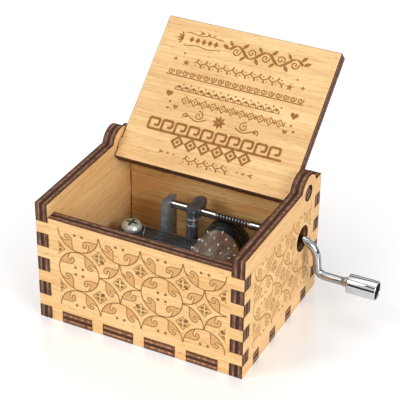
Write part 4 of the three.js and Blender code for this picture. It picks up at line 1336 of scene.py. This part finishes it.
# %% Rows on the lid
# Each row: its unit, how many, their pitch, millimetres across and the share from the lip.
rows = (
    (vine, 1, 1.0, 6.1, 0.14),
    (banner(), 1, 1.0, -14.2, 0.131),
    (arrow_unit(1), 1, 1.0, -13.3, 0.076),
    (garland_unit(), 10, garland_pitch, -0.3, 0.279),
    (wave_unit(), 19, wave_pitch, -0.1, 0.364),
    (arcade_unit(), 14, arcade_pitch, -0.8, 0.452),
    (lozenge_unit(), 11, lozenge_pitch, 2.1, 0.537),
    (key_unit(), 10, key_pitch, 0.1, 0.73),
    (diamond_row_unit(), 6, key_pitch, 0.1, 0.814),
    (garland_unit(), 5, garland_pitch, 0.0, 0.911),
    (arrow_unit(1), 1, 1.0, -12.2, 0.896),
    (arrow_unit(-1), 1, 1.0, 12.0, 0.907),
    (single_marks(), 1, 1.0, 0.0, 0.5),
)
join_meshes("lid_engraved_rows", [lid_row(*row) for row in rows], "lid", engraved_lid)
print("rows on the lid:", len(rows))

# %% [markdown]
# ## Metals and plastic
# The movement's frame is die-cast zinc: dull blue-grey, with a slight orange peel from the mould.
# The comb is ground spring steel, the rod and knob are chrome plate, and the wheel is black nylon.
# Flat colours would look like painted card, because real metal is never polished evenly. That
# unevenness is one effect that all of them share, so it is one group with each metal's own values.

# %% Uneven polish group
def uneven_polish_group():
    """Broad patches that are a little rougher than their surroundings, with fine dents in them."""
    value = "NodeSocketFloat"
    inputs = {"Vector": "NodeSocketVector", "Scale": value, "Base Roughness": value, "Spread": value}
    outputs = {"Mask": value, "Roughness": value, "Height": value}
    graph, given, result = new_group("uneven_polish", "ShaderNodeTree", inputs, outputs)
    broad = graph.noise(given["Vector"], given["Scale"], detail=4.0, roughness=0.6)
    fine_scale = graph.math("MULTIPLY", given["Scale"], 7.0)
    fine = graph.noise(given["Vector"], fine_scale, detail=2.0, roughness=0.5)
    shift = graph.math("MULTIPLY", graph.math("SUBTRACT", broad, 0.5), given["Spread"])
    roughness = graph.math("ADD", given["Base Roughness"], shift, clamp=True)
    graph.give(result, {"Mask": graph.remap(broad, 0.35, 0.65), "Roughness": roughness, "Height": fine})
    return graph.tree


uneven_polish = uneven_polish_group()
print("uneven polish:", len(uneven_polish.nodes), "nodes")

# %% [markdown]
# ### Painted shade in hollows
# The roots of a thread, the inside of a cup and a screw's cross lie in shade, so their shade is
# painted into the metal. These places could have pieces or slots of their own, but they have no clear
# border on the mesh. A mask worked out from the place of a point draws them instead: near a line, or
# inside a cross.

# %% Masks for painted shade
soft_share = 0.03


def object_place(graph):
    """Where a shaded point lies, in the object's own coordinates."""
    return graph.tree.nodes.new("ShaderNodeTexCoord").outputs["Object"]


def near_line(axis_point, radius, from_x, to_x):
    """A mask of what lies nearer than a radius to a line along x, between two places on it."""
    def mask(graph, where):
        place_x = graph.split(where)[0]
        flat = graph.vector("MULTIPLY", graph.vector("SUBTRACT", where, tuple(axis_point)), (0, 1, 1))
        distance = graph.vector("LENGTH", flat, out=1)
        deep = graph.remap(distance, radius * (1 - soft_share), radius, 1.0, 0.0)
        after = graph.math("GREATER_THAN", place_x, from_x)
        before = graph.math("LESS_THAN", place_x, to_x)
        return graph.math("MULTIPLY", deep, graph.math("MULTIPLY", after, before))
    return mask


def cross_recess(centre, half_width, half_length, floor_z):
    """A mask of the cross cut in a screw's head, its walls included."""
    def mask(graph, where):
        offset = graph.split(graph.vector("ABSOLUTE", graph.vector("SUBTRACT", where, tuple(centre))))
        arms = []
        for narrow, long in ((0, 1), (1, 0)):
            across = graph.math("LESS_THAN", offset[narrow], half_width)
            along = graph.math("LESS_THAN", offset[long], half_length)
            arms.append(graph.math("MULTIPLY", across, along))
        above = graph.math("GREATER_THAN", graph.split(where)[2], floor_z)
        return graph.math("MULTIPLY", above, graph.math("MAXIMUM", *arms))
    return mask


def painted_shade_where(material, mask_of, shade_tone):
    """Darkens and roughens a metal under a mask: painted shade in a hollow."""
    graph = Graph(material.node_tree)
    shader = graph.tree.nodes["Principled BSDF"]
    mask = mask_of(graph, object_place(graph))
    for socket, value_in_shade in (("Base Color", shade_tone), ("Roughness", 0.6), ("Metallic", 0.2)):
        old = shader.inputs[socket]
        source = old.links[0].from_socket if old.is_linked else old.default_value
        mixer = graph.mix if socket == "Base Color" else graph.mix_value
        graph.give(shader, {socket: mixer(mask, source, value_in_shade)})
    return material


print("a mask near a line is soft over", soft_share, "of its radius")

# %% [markdown]
# ### The castings' metal
# The posts, the brackets and the base are cast in one zinc, but they differ in tone: the end post's
# is lighter, as painted light, the pillars' is darker, as painted shade, and the base's is darker
# and rougher still. One grey for all could be tinted piece by piece. Here one function makes every
# metal from two tones, how rough and how metallic it is, and how large the marks of its polish are.

# %% A metal from two tones
def plain_metal(name, dark, light, roughness, metallic, bump=0.1, scale=900.0, spread=0.2, stretch=(1, 1, 1)):
    """A metal or plastic with uneven polish; stretch draws the marks out along an axis."""
    material, graph, shader, coordinates = new_material(name)
    where = graph.vector("MULTIPLY", coordinates.outputs["Object"], stretch)
    marks = {"Vector": where, "Scale": scale, "Base Roughness": roughness, "Spread": spread}
    polish = place_group(graph, uneven_polish, marks)
    graph.give(shader, {
        "Base Color": graph.mix(polish["Mask"], dark, light),
        "Roughness": polish["Roughness"],
        "Metallic": metallic,
        "Normal": graph.bump(polish["Height"], bump, 0.02 * MM),
    })
    return material


def painted_highlight_band(material, from_y, tone):
    """A painted highlight: the metal beyond a place along y is paler."""
    graph = Graph(material.node_tree)
    shader = graph.tree.nodes["Principled BSDF"]
    colour = shader.inputs["Base Color"].links[0].from_socket
    beyond = graph.math("GREATER_THAN", graph.split(object_place(graph))[1], from_y)
    graph.give(shader, {"Base Color": graph.mix(beyond, colour, tone)})


mould_marks = {"bump": 0.02, "scale": 420.0, "spread": 0.15}
cast_zinc = plain_metal("die_cast_zinc", srgb(118, 129, 138), srgb(156, 166, 173), 0.24, 0.5, **mould_marks)
# Painted shade: the pillars' zinc is darker than the brackets'.
zinc_painted_shade = plain_metal("cast_zinc_painted_shade", srgb(92, 99, 106), srgb(122, 129, 136), 0.24, 0.6, **mould_marks)
# Painted light: the end post's zinc is lighter than the brackets'.
zinc_painted_light = plain_metal(
    "cast_zinc_painted_light", srgb(140, 153, 162), srgb(178, 191, 200), 0.2, 0.6, bump=0.03, scale=380.0
)
base_zinc = plain_metal(
    "cast_base_zinc", srgb(52, 57, 62), srgb(78, 84, 90), 0.5, 0.8, bump=0.5, scale=1100.0
)
print("castings' tones:", ", ".join(zinc.name for zinc in (cast_zinc, zinc_painted_shade, zinc_painted_light, base_zinc)))

# %% [markdown]
# ### Steel, drum and nylon
# The comb was ground along its teeth and the drum was rolled, so their marks are drawn out along one
# direction. Anisotropic shading would do that for a highlight only, but stretched noise also varies
# the colour, which is what shows on a dull surface.

# %% Steel, drum and nylon
small_marks = {"bump": 0.08, "scale": 700.0, "spread": 0.1}
nickel_tones = (srgb(186, 194, 192), srgb(216, 221, 220))
bright_nickel = plain_metal("bright_nickel", *nickel_tones, 0.26, 0.9, **small_marks)
comb_steel = plain_metal(
    "ground_comb_steel", srgb(66, 72, 75), srgb(106, 112, 115), 0.32, 0.9,
    bump=0.3, scale=500.0, stretch=(0.2, 3, 3),
)
drum_sheet = plain_metal(
    "dull_drum_sheet", srgb(184, 171, 156), srgb(214, 202, 187), 0.28, 0.85,
    bump=0.03, scale=400.0, spread=0.1, stretch=(1, 0.25, 1),
)
pin_steel = plain_metal(
    "polished_pin_steel", srgb(232, 235, 236), srgb(246, 247, 248), 0.3, 0.45, bump=0.02, spread=0.1
)
black_nylon = plain_metal(
    "black_nylon", srgb(18, 18, 20), srgb(34, 34, 37), 0.24, 0.0, scale=1200.0, spread=0.15
)
print("materials so far:", len(bpy.data.materials))

# %% [markdown]
# ## The movement's fixed pieces
# Castings have no sharp edges, because the mould needs a radius and the tumbling after it rounds
# the rest. A small rounding is what catches the light on the real posts. The posts could be modelled
# again, but their shape is already right, so every cast piece is a clean copy of its solid with
# two-step edges. The comb's rear edge carries a painted highlight: a pale band along it.

# %% Castings, bed and comb
cast_rounding = 0.22 * MM
castings = {
    "movement_base": base_zinc,
    "comb_bed": base_zinc,
    "shaft_end_post": zinc_painted_light,
    "bearing_pillar_inner": zinc_painted_shade,
    "bearing_pillar_outer": zinc_painted_shade,
    "drum_bracket_front": cast_zinc,
    "drum_bracket_rear": cast_zinc,
}
for node, material in castings.items():
    finished_solid(node, node + "_casting", "case", material, cast_rounding, 2)
# A pale band along the comb's rear edge is a painted highlight.
highlight_band_width = 0.3 * MM
painted_highlight_band(comb_steel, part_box("comb")[1].y - highlight_band_width, srgb(178, 182, 184))
finished_solid("comb", "comb_ground", "case", comb_steel, 0.12 * MM, 1)
print("castings:", len(castings))

# %% [markdown]
# ### Screws, rivets and small steel
# The small pieces are turned or pressed, so their edges are eased but crisp. Their threads are
# hidden in wood or metal, so threads would be work that nobody sees, and the copies keep plain
# shanks. The comb screws' heads carry a cross recess, which is the darkest spot on them.

# %% Screws, rivets and small steel
rivets = {f"bracket_rivet_{number}": f"rivet_{number}" for number in range(1, 5)}
wood_screws = {f"base_screw_{number}": f"wood_screw_{number}" for number in range(1, 4)}
for node, name in (rivets | wood_screws).items():
    finished_solid(node, name, "case", bright_nickel, 0.08 * MM, 2)
drive_depth = 1.0 * MM
drive_half_width = 0.42 * MM
drive_half_length = 1.85 * MM
pan_tones = (srgb(176, 186, 182), srgb(214, 220, 216))
for node in ("comb_screw_rear", "comb_screw_front"):
    low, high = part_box(node)
    screw_steel = plain_metal(node + "_steel", *pan_tones, 0.3, 0.45, **small_marks)
    recess = cross_recess((low + high) / 2, drive_half_width, drive_half_length, high.z - drive_depth)
    # Painted shade in the cross recess.
    screw_steel = painted_shade_where(screw_steel, recess, srgb(84, 91, 89))
    finished_solid(node, node + "_pan", "case", screw_steel, 0.12 * MM, 2)
finished_solid("shaft_ring", "shaft_collar", "crank", bright_nickel, 0.1 * MM, 2)
finished_solid("knob_washer", "knob_retainer", "crank", bright_nickel, 0.06 * MM, 2)
finished_solid("drum_arbor", "drum_axle", "drum", bright_nickel, 0.15 * MM, 2)
finished_solid("drum_cap", "drum_end_disc", "drum", black_nylon, 0.1 * MM, 2)
finished_solid("worm_wheel", "worm_wheel_nylon", "drum", black_nylon, 0.05 * MM, 1)
print("rivets:", len(rivets), "wood screws:", len(wood_screws))

# %% [markdown]
# ## The crank
# The crank is one chromed rod. On the real part the worm is rolled into the straight end, the arm
# is bent, and it is pinched where the sleeve must stop. A curve with a round profile could make the
# bends but not the thread. A row of rings joined by skin makes both: the rings turn through the
# bends, and in the worm each point of a ring follows the thread, so that rod and worm are one
# smooth surface.

# %% Rings and skins
def ring_points(centre, along, radii):
    """A ring of points round a centre, square to a direction in the plane of x and z."""
    side = Vector((0, 1, 0))
    up = along.cross(side).normalized()
    points = []
    for index, radius in enumerate(radii):
        turn = 2 * math.pi * index / len(radii)
        points.append(centre + (side * math.cos(turn) + up * math.sin(turn)) * radius)
    return points


def skin_rings(rings):
    """Joins the rings into one closed solid with flat ends."""
    bm = bmesh.new()
    loops = [[bm.verts.new(point) for point in ring] for ring in rings]
    for first, second in zip(loops, loops[1:]):
        for index in range(len(first)):
            after = (index + 1) % len(first)
            bm.faces.new((first[index], first[after], second[after], second[index]))
    bm.faces.new(loops[0][::-1])
    bm.faces.new(loops[-1])
    bmesh.ops.recalc_face_normals(bm, faces=bm.faces)
    return bm


test_ring = ring_points(Vector((0, 0, 0)), Vector((1, 0, 0)), [1.0] * 4)
print("a ring along x starts at", [round(value, 2) for value in test_ring[0]])

# %% [markdown]
# ### A lathe
# The collars, the knob and the drum's shell are turned parts. A screw modifier could turn them, but
# then the section would have to lie in an object of its own. A short function turns a list of
# places and radii round a line, and what it gives is closed by its making.

# %% A lathe
lathe_sides = 96
turned_smooth = math.radians(40)


def lathe_round_x(outline, centre):
    """Turns a closed section of (x, radius) points in millimetres round a line along x."""
    bm = bmesh.new()
    loops = []
    for side in range(lathe_sides):
        turn = 2 * math.pi * side / lathe_sides
        out = Vector((0, math.cos(turn), math.sin(turn)))
        middle = Vector((0, centre.y, centre.z))
        places = [middle + Vector((x * MM, 0, 0)) + out * radius * MM for x, radius in outline]
        loops.append([bm.verts.new(place) for place in places])
    for side in range(lathe_sides):
        here, there = loops[side], loops[(side + 1) % lathe_sides]
        for index in range(len(outline)):
            after = (index + 1) % len(outline)
            bm.faces.new((here[index], here[after], there[after], there[index]))
    bmesh.ops.recalc_face_normals(bm, faces=bm.faces)
    return bm


print("the lathe cuts", lathe_sides, "sides")

# %% [markdown]
# ### Collars on the pillar
# Two thin beads run round the inner pillar under its head, and catch the light. They could be a
# bump, but a real edge gives the right highlight, so each is a small lathed ring.

# %% Collars turned on the inner pillar
pillar_radius = 1.7
pillar_lead = 2.4
collar_proud = 0.22
collar_half = 0.3
collar_root = 0.1
collar_heights = (21.2, 19.2)
collar_smooth = math.radians(50)
inner_low, inner_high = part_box("bearing_pillar_inner")


def collar_ring(height):
    """A rounded ring round the pillar's shank, closed where it meets the shank."""
    centre = Vector(((inner_low.x + inner_high.x) / 2, shaft_point.y - pillar_lead * MM, height * MM))
    outline = [(-collar_half, pillar_radius - collar_root)]
    for step in range(9):
        turn = math.pi * step / 8
        outline.append((-collar_half * math.cos(turn), pillar_radius + collar_proud * math.sin(turn)))
    outline.append((collar_half, pillar_radius - collar_root))
    bm = lathe_round_x(outline, Vector((0, 0, 0)))
    turn = Matrix.Translation(centre) @ Matrix.Rotation(-math.pi / 2, 4, "Y")
    bmesh.ops.transform(bm, matrix=turn, verts=bm.verts)
    return bm


for number, height in enumerate(collar_heights, 1):
    collar = collar_ring(height)
    link_piece(f"pillar_collar_{number}", collar, "case", cast_zinc, collar_smooth)
print("collars:", len(collar_heights))

# %% [markdown]
# ### The worm's thread
# A worm is a screw thread that drives a wheel. It could be a coil wound round a smooth shaft, but a
# coil would stand on the shaft, and the real thread is rolled into it. So the radius of each point is
# worked out from how far it has turned round the shaft, and the groove runs out softly at both ends.

# %% The worm's thread
shaft_radius = 1.25
worm_pitch = 0.96
worm_turns = 12
worm_start = drum_point.x / MM - 4.0
worm_end = worm_start + worm_turns * worm_pitch
thread_depth = 0.45
thread_runout = 0.9
crest_share, foot_share = 0.11, 0.27


def thread_radius(x, turn):
    """The worm's radius at a place along the shaft and an angle round it, in millimetres."""
    turns = (x - drum_point.x / MM) / worm_pitch - (turn + math.pi / 2) / (2 * math.pi)
    from_crest = abs(turns - math.floor(turns) - 0.5)
    rise = min(max((foot_share - from_crest) / (foot_share - crest_share), 0.0), 1.0)
    from_end = min(x - worm_start, worm_end - x)
    fade = min(max(from_end / thread_runout, 0.0), 1.0)
    return shaft_radius - thread_depth * fade * (1 - rise)


print("worm from", round(worm_start, 2), "to", round(worm_end, 2), "mm along the shaft")

# %% [markdown]
# ### Bends in the rod
# The arm is bent over a mandrel, so each bend is an arc of the rod's own thickness. Two straight
# pieces could simply meet at an angle, but no rod bends that sharply. Here each bend is a row of
# rings on an arc, each tilted a little more than the one before.

# %% Bends in the rod
rod_sides = 40
bend_steps = 16


def rod_ring(x, drop, tilt, radius_at):
    """A ring of the rod: its place along x, its drop below the shaft and its tilt downwards."""
    centre = Vector((x * MM, shaft_point.y, shaft_point.z - drop * MM))
    along = Vector((math.cos(tilt), 0, -math.sin(tilt)))
    turns = [2 * math.pi * side / rod_sides for side in range(rod_sides)]
    return ring_points(centre, along, [radius_at(turn) * MM for turn in turns])


def plain_ring(x, drop, tilt, radius):
    """A ring with one radius all round."""
    return rod_ring(x, drop, tilt, lambda turn: radius)


def bend(middle_x, middle_drop, radius, from_tilt, to_tilt, side):
    """An arc of rings; side is 1 where the rod turns down, and -1 where it turns level again."""
    rings = []
    for step in range(bend_steps + 1):
        tilt = from_tilt + (to_tilt - from_tilt) * step / bend_steps
        x = middle_x + side * radius * math.sin(tilt)
        drop = middle_drop - side * radius * math.cos(tilt)
        rings.append(plain_ring(x, drop, tilt, shaft_radius))
    return rings


print("each bend has", bend_steps + 1, "rings of", rod_sides, "points")

# %% [markdown]
# ### The bent rod
# The rings run along the shaft, through the worm, round the shoulder, down the arm, round the
# elbow, over the crimp and into the knob. A curve with a round profile would bend as well, but here
# one row of rings also carries the thread, the crimp and the rounded ends.

# %% The rings of the crank
worm_steps = 12
rod_low, rod_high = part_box("crank_rod")
knob_low, knob_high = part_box("crank_knob")
arm_reach = right_high.x / MM + 4.2
arm_slant = 0.9
arm_drop = (shaft_point.z - knob_point.z) / MM
shoulder_radius = 5.6
elbow_radius = 2.6
crimp_reach = 45.1
crimp_length = 1.3
crimp_radius = 1.5
spigot_radius = 0.9
peen_radius = 1.2
peen_length = 0.4
rod_round = 0.15


def shaft_rings():
    """The rounded end, the smooth shaft and the worm."""
    start = rod_low.x / MM
    rings = [plain_ring(start, 0, 0, shaft_radius - rod_round)]
    for x in (start + rod_round, start + rod_round * 2, worm_start - rod_round):
        rings.append(plain_ring(x, 0, 0, shaft_radius))
    for step in range(worm_turns * worm_steps + 1):
        x = worm_start + step / worm_steps * worm_pitch
        rings.append(rod_ring(x, 0, 0, lambda turn: thread_radius(x, turn)))
    return rings + [plain_ring(worm_end + rod_round, 0, 0, shaft_radius)]


def arm_rings():
    """The shoulder and the elbow, with the straight arm between them."""
    tilt = math.atan2(arm_drop, arm_slant)
    shoulder_run, elbow_run = (radius * math.tan(tilt / 2) for radius in (shoulder_radius, elbow_radius))
    shoulder = bend(arm_reach - shoulder_run, shoulder_radius, shoulder_radius, 0, tilt, 1)
    elbow_x = arm_reach + arm_slant + elbow_run
    return shoulder + bend(elbow_x, arm_drop - elbow_radius, elbow_radius, tilt, 0, -1)


def spigot_rings():
    """The crimp that stops the sleeve, the thin spigot it turns on, and the peened end."""
    steps = 8
    rings = [plain_ring(crimp_reach - crimp_length / 2, arm_drop, 0, shaft_radius)]
    for step in range(steps + 1):
        swell = math.sin(math.pi * step / steps)
        x = crimp_reach + crimp_length * step / steps
        rings.append(plain_ring(x, arm_drop, 0, shaft_radius + (crimp_radius - shaft_radius) * swell))
    peen_end = rod_high.x / MM
    peen_start = peen_end - peen_length
    for x, radius in (
        (crimp_reach + crimp_length, spigot_radius),
        (peen_start, spigot_radius),
        (peen_start, peen_radius),
        (peen_end - rod_round, peen_radius),
        (peen_end, peen_radius - rod_round),
    ):
        rings.append(plain_ring(x, arm_drop, 0, radius))
    return rings


crank_rings = shaft_rings() + arm_rings() + spigot_rings()
print("rings of the crank:", len(crank_rings))

# %% [markdown]
# ### Chrome on the rod
# Chrome plate mirrors what stands round it and has almost no colour of its own. A perfect mirror is
# easy to make but looks drawn, so a very weak uneven polish stays in it. The rod's tones are darker
# than the knob's, as painted shade, and the thread's roots are painted dark, as painted shade.

# %% The bent rod with its worm
rod_smooth = math.radians(50)
root_radius = (shaft_radius - thread_depth * 0.7) * MM
in_thread = near_line(shaft_point, root_radius, worm_start * MM, worm_end * MM)
chrome_marks = {"bump": 0.02, "scale": 300.0, "spread": 0.04}
# The rod's chrome tones are darker than the knob's: painted shade.
rod_chrome = plain_metal("chrome_on_rod", srgb(150, 153, 156), srgb(170, 173, 176), 0.05, 1.0, **chrome_marks)
# Painted shade in the thread's roots.
rod_chrome = painted_shade_where(rod_chrome, in_thread, srgb(52, 48, 45))
rod_bm = skin_rings(crank_rings)
rod = link_piece("crank_chromed_rod", rod_bm, "crank", rod_chrome, rod_smooth)
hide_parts("crank_rod")
print("rod faces:", len(rod.data.polygons))

# %% [markdown]
# ### The sleeve knob
# The knob is a turned cup that spins on the end of the rod. A thick-walled tube could stand in for
# it, but its rim would be square. So its section is drawn once, with a rounded back and a rounded
# rim, and lathed round the rod's line. Its inside is a real hollow, and a mask paints it dark, as
# painted shade in the cup.

# %% The sleeve knob
knob_radius = (knob_high.z - knob_low.z) / 2 / MM
knob_back, knob_front = knob_low.x / MM, knob_high.x / MM
knob_wall = 0.45
knob_end_wall = 0.8
knob_bore = 1.05
rim_round = 0.35


def knob_outline():
    """The sleeve's section from its bore at the back, over the outside, to the inside of its cup."""
    points = [(knob_back, knob_bore)]
    for step in range(7):
        turn = math.pi / 2 * step / 6
        reach = knob_radius - rim_round + rim_round * math.sin(turn)
        points.append((knob_back + rim_round * (1 - math.cos(turn)), reach))
    half_wall = knob_wall / 2
    for step in range(9):
        turn = math.pi * step / 8
        reach = knob_radius - half_wall + half_wall * math.cos(turn)
        points.append((knob_front - half_wall + half_wall * math.sin(turn), reach))
    points.append((knob_back + knob_end_wall, knob_radius - knob_wall))
    points.append((knob_back + knob_end_wall, knob_bore))
    return points


cup_span = ((knob_back + knob_end_wall / 2) * MM, (knob_front - knob_wall / 2) * MM)
cup_radius = (knob_radius - knob_wall * 0.8) * MM
knob_tones = (srgb(188, 190, 192), srgb(206, 208, 210))
knob_chrome = plain_metal("chrome_on_knob", *knob_tones, 0.05, 1.0, **chrome_marks)
# Painted shade inside the cup.
knob_chrome = painted_shade_where(knob_chrome, near_line(knob_point, cup_radius, *cup_span), srgb(34, 33, 33))
knob_bm = lathe_round_x(knob_outline(), knob_point)
knob = link_piece("crank_sleeve_knob", knob_bm, "knob", knob_chrome, turned_smooth)
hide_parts("crank_knob")
print("knob radius in mm:", round(knob_radius, 2))

# %% [markdown]
# ## The drum and its pins
# The tune is a cloud of steel pins on a thin drum of rolled sheet. The solid has the pins and the
# drum in one, with few faces, and could be smoothed, but its pins would stay blunt. Here the shell
# is lathed from its section, which has a small lip at the open end, and the pins are set into it
# afterwards, as in the works.

# %% Drum shell
drum_low, drum_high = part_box("pin_drum")
drum_radius = 6.2
drum_wall = 0.8
shell_lip = 0.15
drum_front, drum_back = drum_low.y / MM, drum_high.y / MM


def drum_shell():
    """A short tube with a chamfer at its open end, turned to lie along y."""
    inside = drum_radius - drum_wall
    outline = [(drum_front, inside), (drum_front, drum_radius - shell_lip)]
    outline += [(drum_front + shell_lip, drum_radius), (drum_back, drum_radius), (drum_back, inside)]
    bm = lathe_round_x(outline, Vector((0, 0, 0)))
    turn = Matrix.Rotation(math.pi / 2, 4, "Z")
    place = Matrix.Translation((drum_point.x, 0, drum_point.z)) @ turn
    bmesh.ops.transform(bm, matrix=place, verts=bm.verts)
    return bm


shell = link_piece("drum_shell", drum_shell(), "drum", drum_sheet, turned_smooth)
print("drum faces:", len(shell.data.polygons))

# %% [markdown]
# ### The pins
# A pin is a tapered stub with eight sides. Seventy-two of them could be placed by hand in an hour. A
# tree works out from each pin's number which comb tooth it plays and how far round the drum it
# stands. The golden share of a turn from one pin to the next keeps them from lining up in rows.

# %% The tree of the pins
golden_share = 0.618


def pin_tree():
    """One instance for each point of a line, moved to its tooth's track and turned to point outwards."""
    value = "NodeSocketFloat"
    inputs = {"Count": "NodeSocketInt", "Pins per Tooth": value, "Tooth Pitch": value, "First Track": value}
    inputs |= {"Drum Radius": value, "Centre": "NodeSocketVector"}
    graph, given, result = new_geometry_tree("pins_on_drum", inputs)
    points = graph.add("GeometryNodeMeshLine", {"Count": given["Count"], "Offset": (0, 0, 0)})
    number = graph.add("GeometryNodeInputIndex")
    tooth = graph.math("FLOOR", graph.math("DIVIDE", number, given["Pins per Tooth"]))
    pin = graph.math("SUBTRACT", number, graph.math("MULTIPLY", tooth, given["Pins per Tooth"]))
    even_share = graph.math("DIVIDE", pin, given["Pins per Tooth"])
    turns = graph.math("ADD", even_share, graph.math("MULTIPLY", number, golden_share))
    angle = graph.math("MULTIPLY", turns, 2 * math.pi)
    along = graph.math("ADD", given["First Track"], graph.math("MULTIPLY", tooth, given["Tooth Pitch"]))
    sideways, upwards = graph.math("SINE", angle), graph.math("COSINE", angle)
    outward = graph.add("ShaderNodeCombineXYZ", {0: sideways, 2: upwards})
    reach = graph.add("ShaderNodeVectorMath", {0: outward, "Scale": given["Drum Radius"]}, operation="SCALE")
    place = graph.vector("ADD", reach, graph.add("ShaderNodeCombineXYZ", {1: along}))
    place = graph.vector("ADD", place, given["Centre"])
    placed = {"Points": graph.add("GeometryNodeSetPosition", {"Geometry": points, "Position": place})}
    placed["Instance"] = given["Geometry"]
    placed["Rotation"] = graph.add("FunctionNodeAlignRotationToVector", {"Vector": outward}, axis="Z")
    solid = graph.add("GeometryNodeRealizeInstances", {0: graph.add("GeometryNodeInstanceOnPoints", placed)})
    return hand_out(graph, solid, given, result)


print("the golden share of a turn is", round(360 * golden_share), "degrees")

# %% [markdown]
# ### Setting the pins
# On the real drum each pin is a short wire in a drilled hole. Each could be an object, but they never
# move apart, so all of them are one piece. The first track lies under the comb's first tooth.

# %% Pins by a node tree
pin_count = 72
pins_per_tooth = 4
pin_radius = 0.27
pin_taper = 0.8
pin_reach = 0.4
pin_root = 0.3
tooth_pitch = 0.98
pin_track_share = 0.3


def pin_mesh():
    """A tapered stub with eight sides that stands on the drum and reaches a little into it."""
    bm = bmesh.new()
    radii = {"radius1": pin_radius * MM, "radius2": pin_radius * MM * pin_taper}
    length = (pin_root + pin_reach) * MM
    bmesh.ops.create_cone(bm, cap_ends=True, segments=8, depth=length, **radii)
    bmesh.ops.translate(bm, vec=(0, 0, (pin_reach - pin_root) / 2 * MM), verts=bm.verts)
    return plain_mesh("pin", bm)


comb_low, comb_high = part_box("comb")
first_track = comb_low.y + tooth_pitch * pin_track_share * MM
pins = evaluate_tree(pin_mesh(), pin_tree(), {
    "Count": pin_count,
    "Pins per Tooth": float(pins_per_tooth),
    "Tooth Pitch": tooth_pitch * MM,
    "First Track": first_track,
    "Drum Radius": drum_radius * MM,
    "Centre": (drum_point.x, 0, drum_point.z),
    "Material": pin_steel,
})
join_meshes("drum_pins", [pins], "drum", pin_steel)
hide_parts("pin_drum")
print("pins:", pin_count, "on", pin_count // pins_per_tooth, "tracks")

# %% [markdown]
# ## Highlight beads on the comb
# A slanting row of small bright marks stands beside the rear screw. They are highlights, made as
# low beads of bright metal that stand in for them: painted highlights in the form of shapes. A bump
# could fake them from afar, but close up only a real shape catches the light, so one low bead is
# repeated along a line by a node tree.

# %% Beads along a line
bead_count = 7
bead_radius = 0.16
bead_height = 0.14
bead_start = Vector((-16.5, 9.1, 0))
bead_end = Vector((-14.5, 4.4, 0))


def row_tree():
    """Instances in a straight row from a start, each a step further."""
    inputs = {"Count": "NodeSocketInt", "Start": "NodeSocketVector", "Step": "NodeSocketVector"}
    graph, given, result = new_geometry_tree("row_along_line", inputs)
    line = {"Count": given["Count"], "Start Location": given["Start"], "Offset": given["Step"]}
    placed = {"Points": graph.add("GeometryNodeMeshLine", line), "Instance": given["Geometry"]}
    solid = graph.add("GeometryNodeRealizeInstances", {0: graph.add("GeometryNodeInstanceOnPoints", placed)})
    return hand_out(graph, solid, given, result)


def bead_mesh():
    """A ball pressed a little flat."""
    bm = bmesh.new()
    bmesh.ops.create_icosphere(bm, subdivisions=2, radius=bead_radius * MM)
    bmesh.ops.scale(bm, vec=(1, 1, bead_height / bead_radius), verts=bm.verts)
    return plain_mesh("bead", bm)


bead_step = (bead_end - bead_start) / (bead_count - 1) * MM
bead_line = {"Count": bead_count, "Step": tuple(bead_step), "Material": bright_nickel}
bead_line["Start"] = (bead_start.x * MM, bead_start.y * MM, comb_high.z)
beads = evaluate_tree(bead_mesh(), row_tree(), bead_line)
# Bright beads that stand in for a row of highlights on the comb.
join_meshes("comb_highlight_beads", [beads], "case", bright_nickel)
print("beads on the comb:", bead_count)

# %% [markdown]
# ## Size
# The finished pieces have to stay inside the packed model's box.
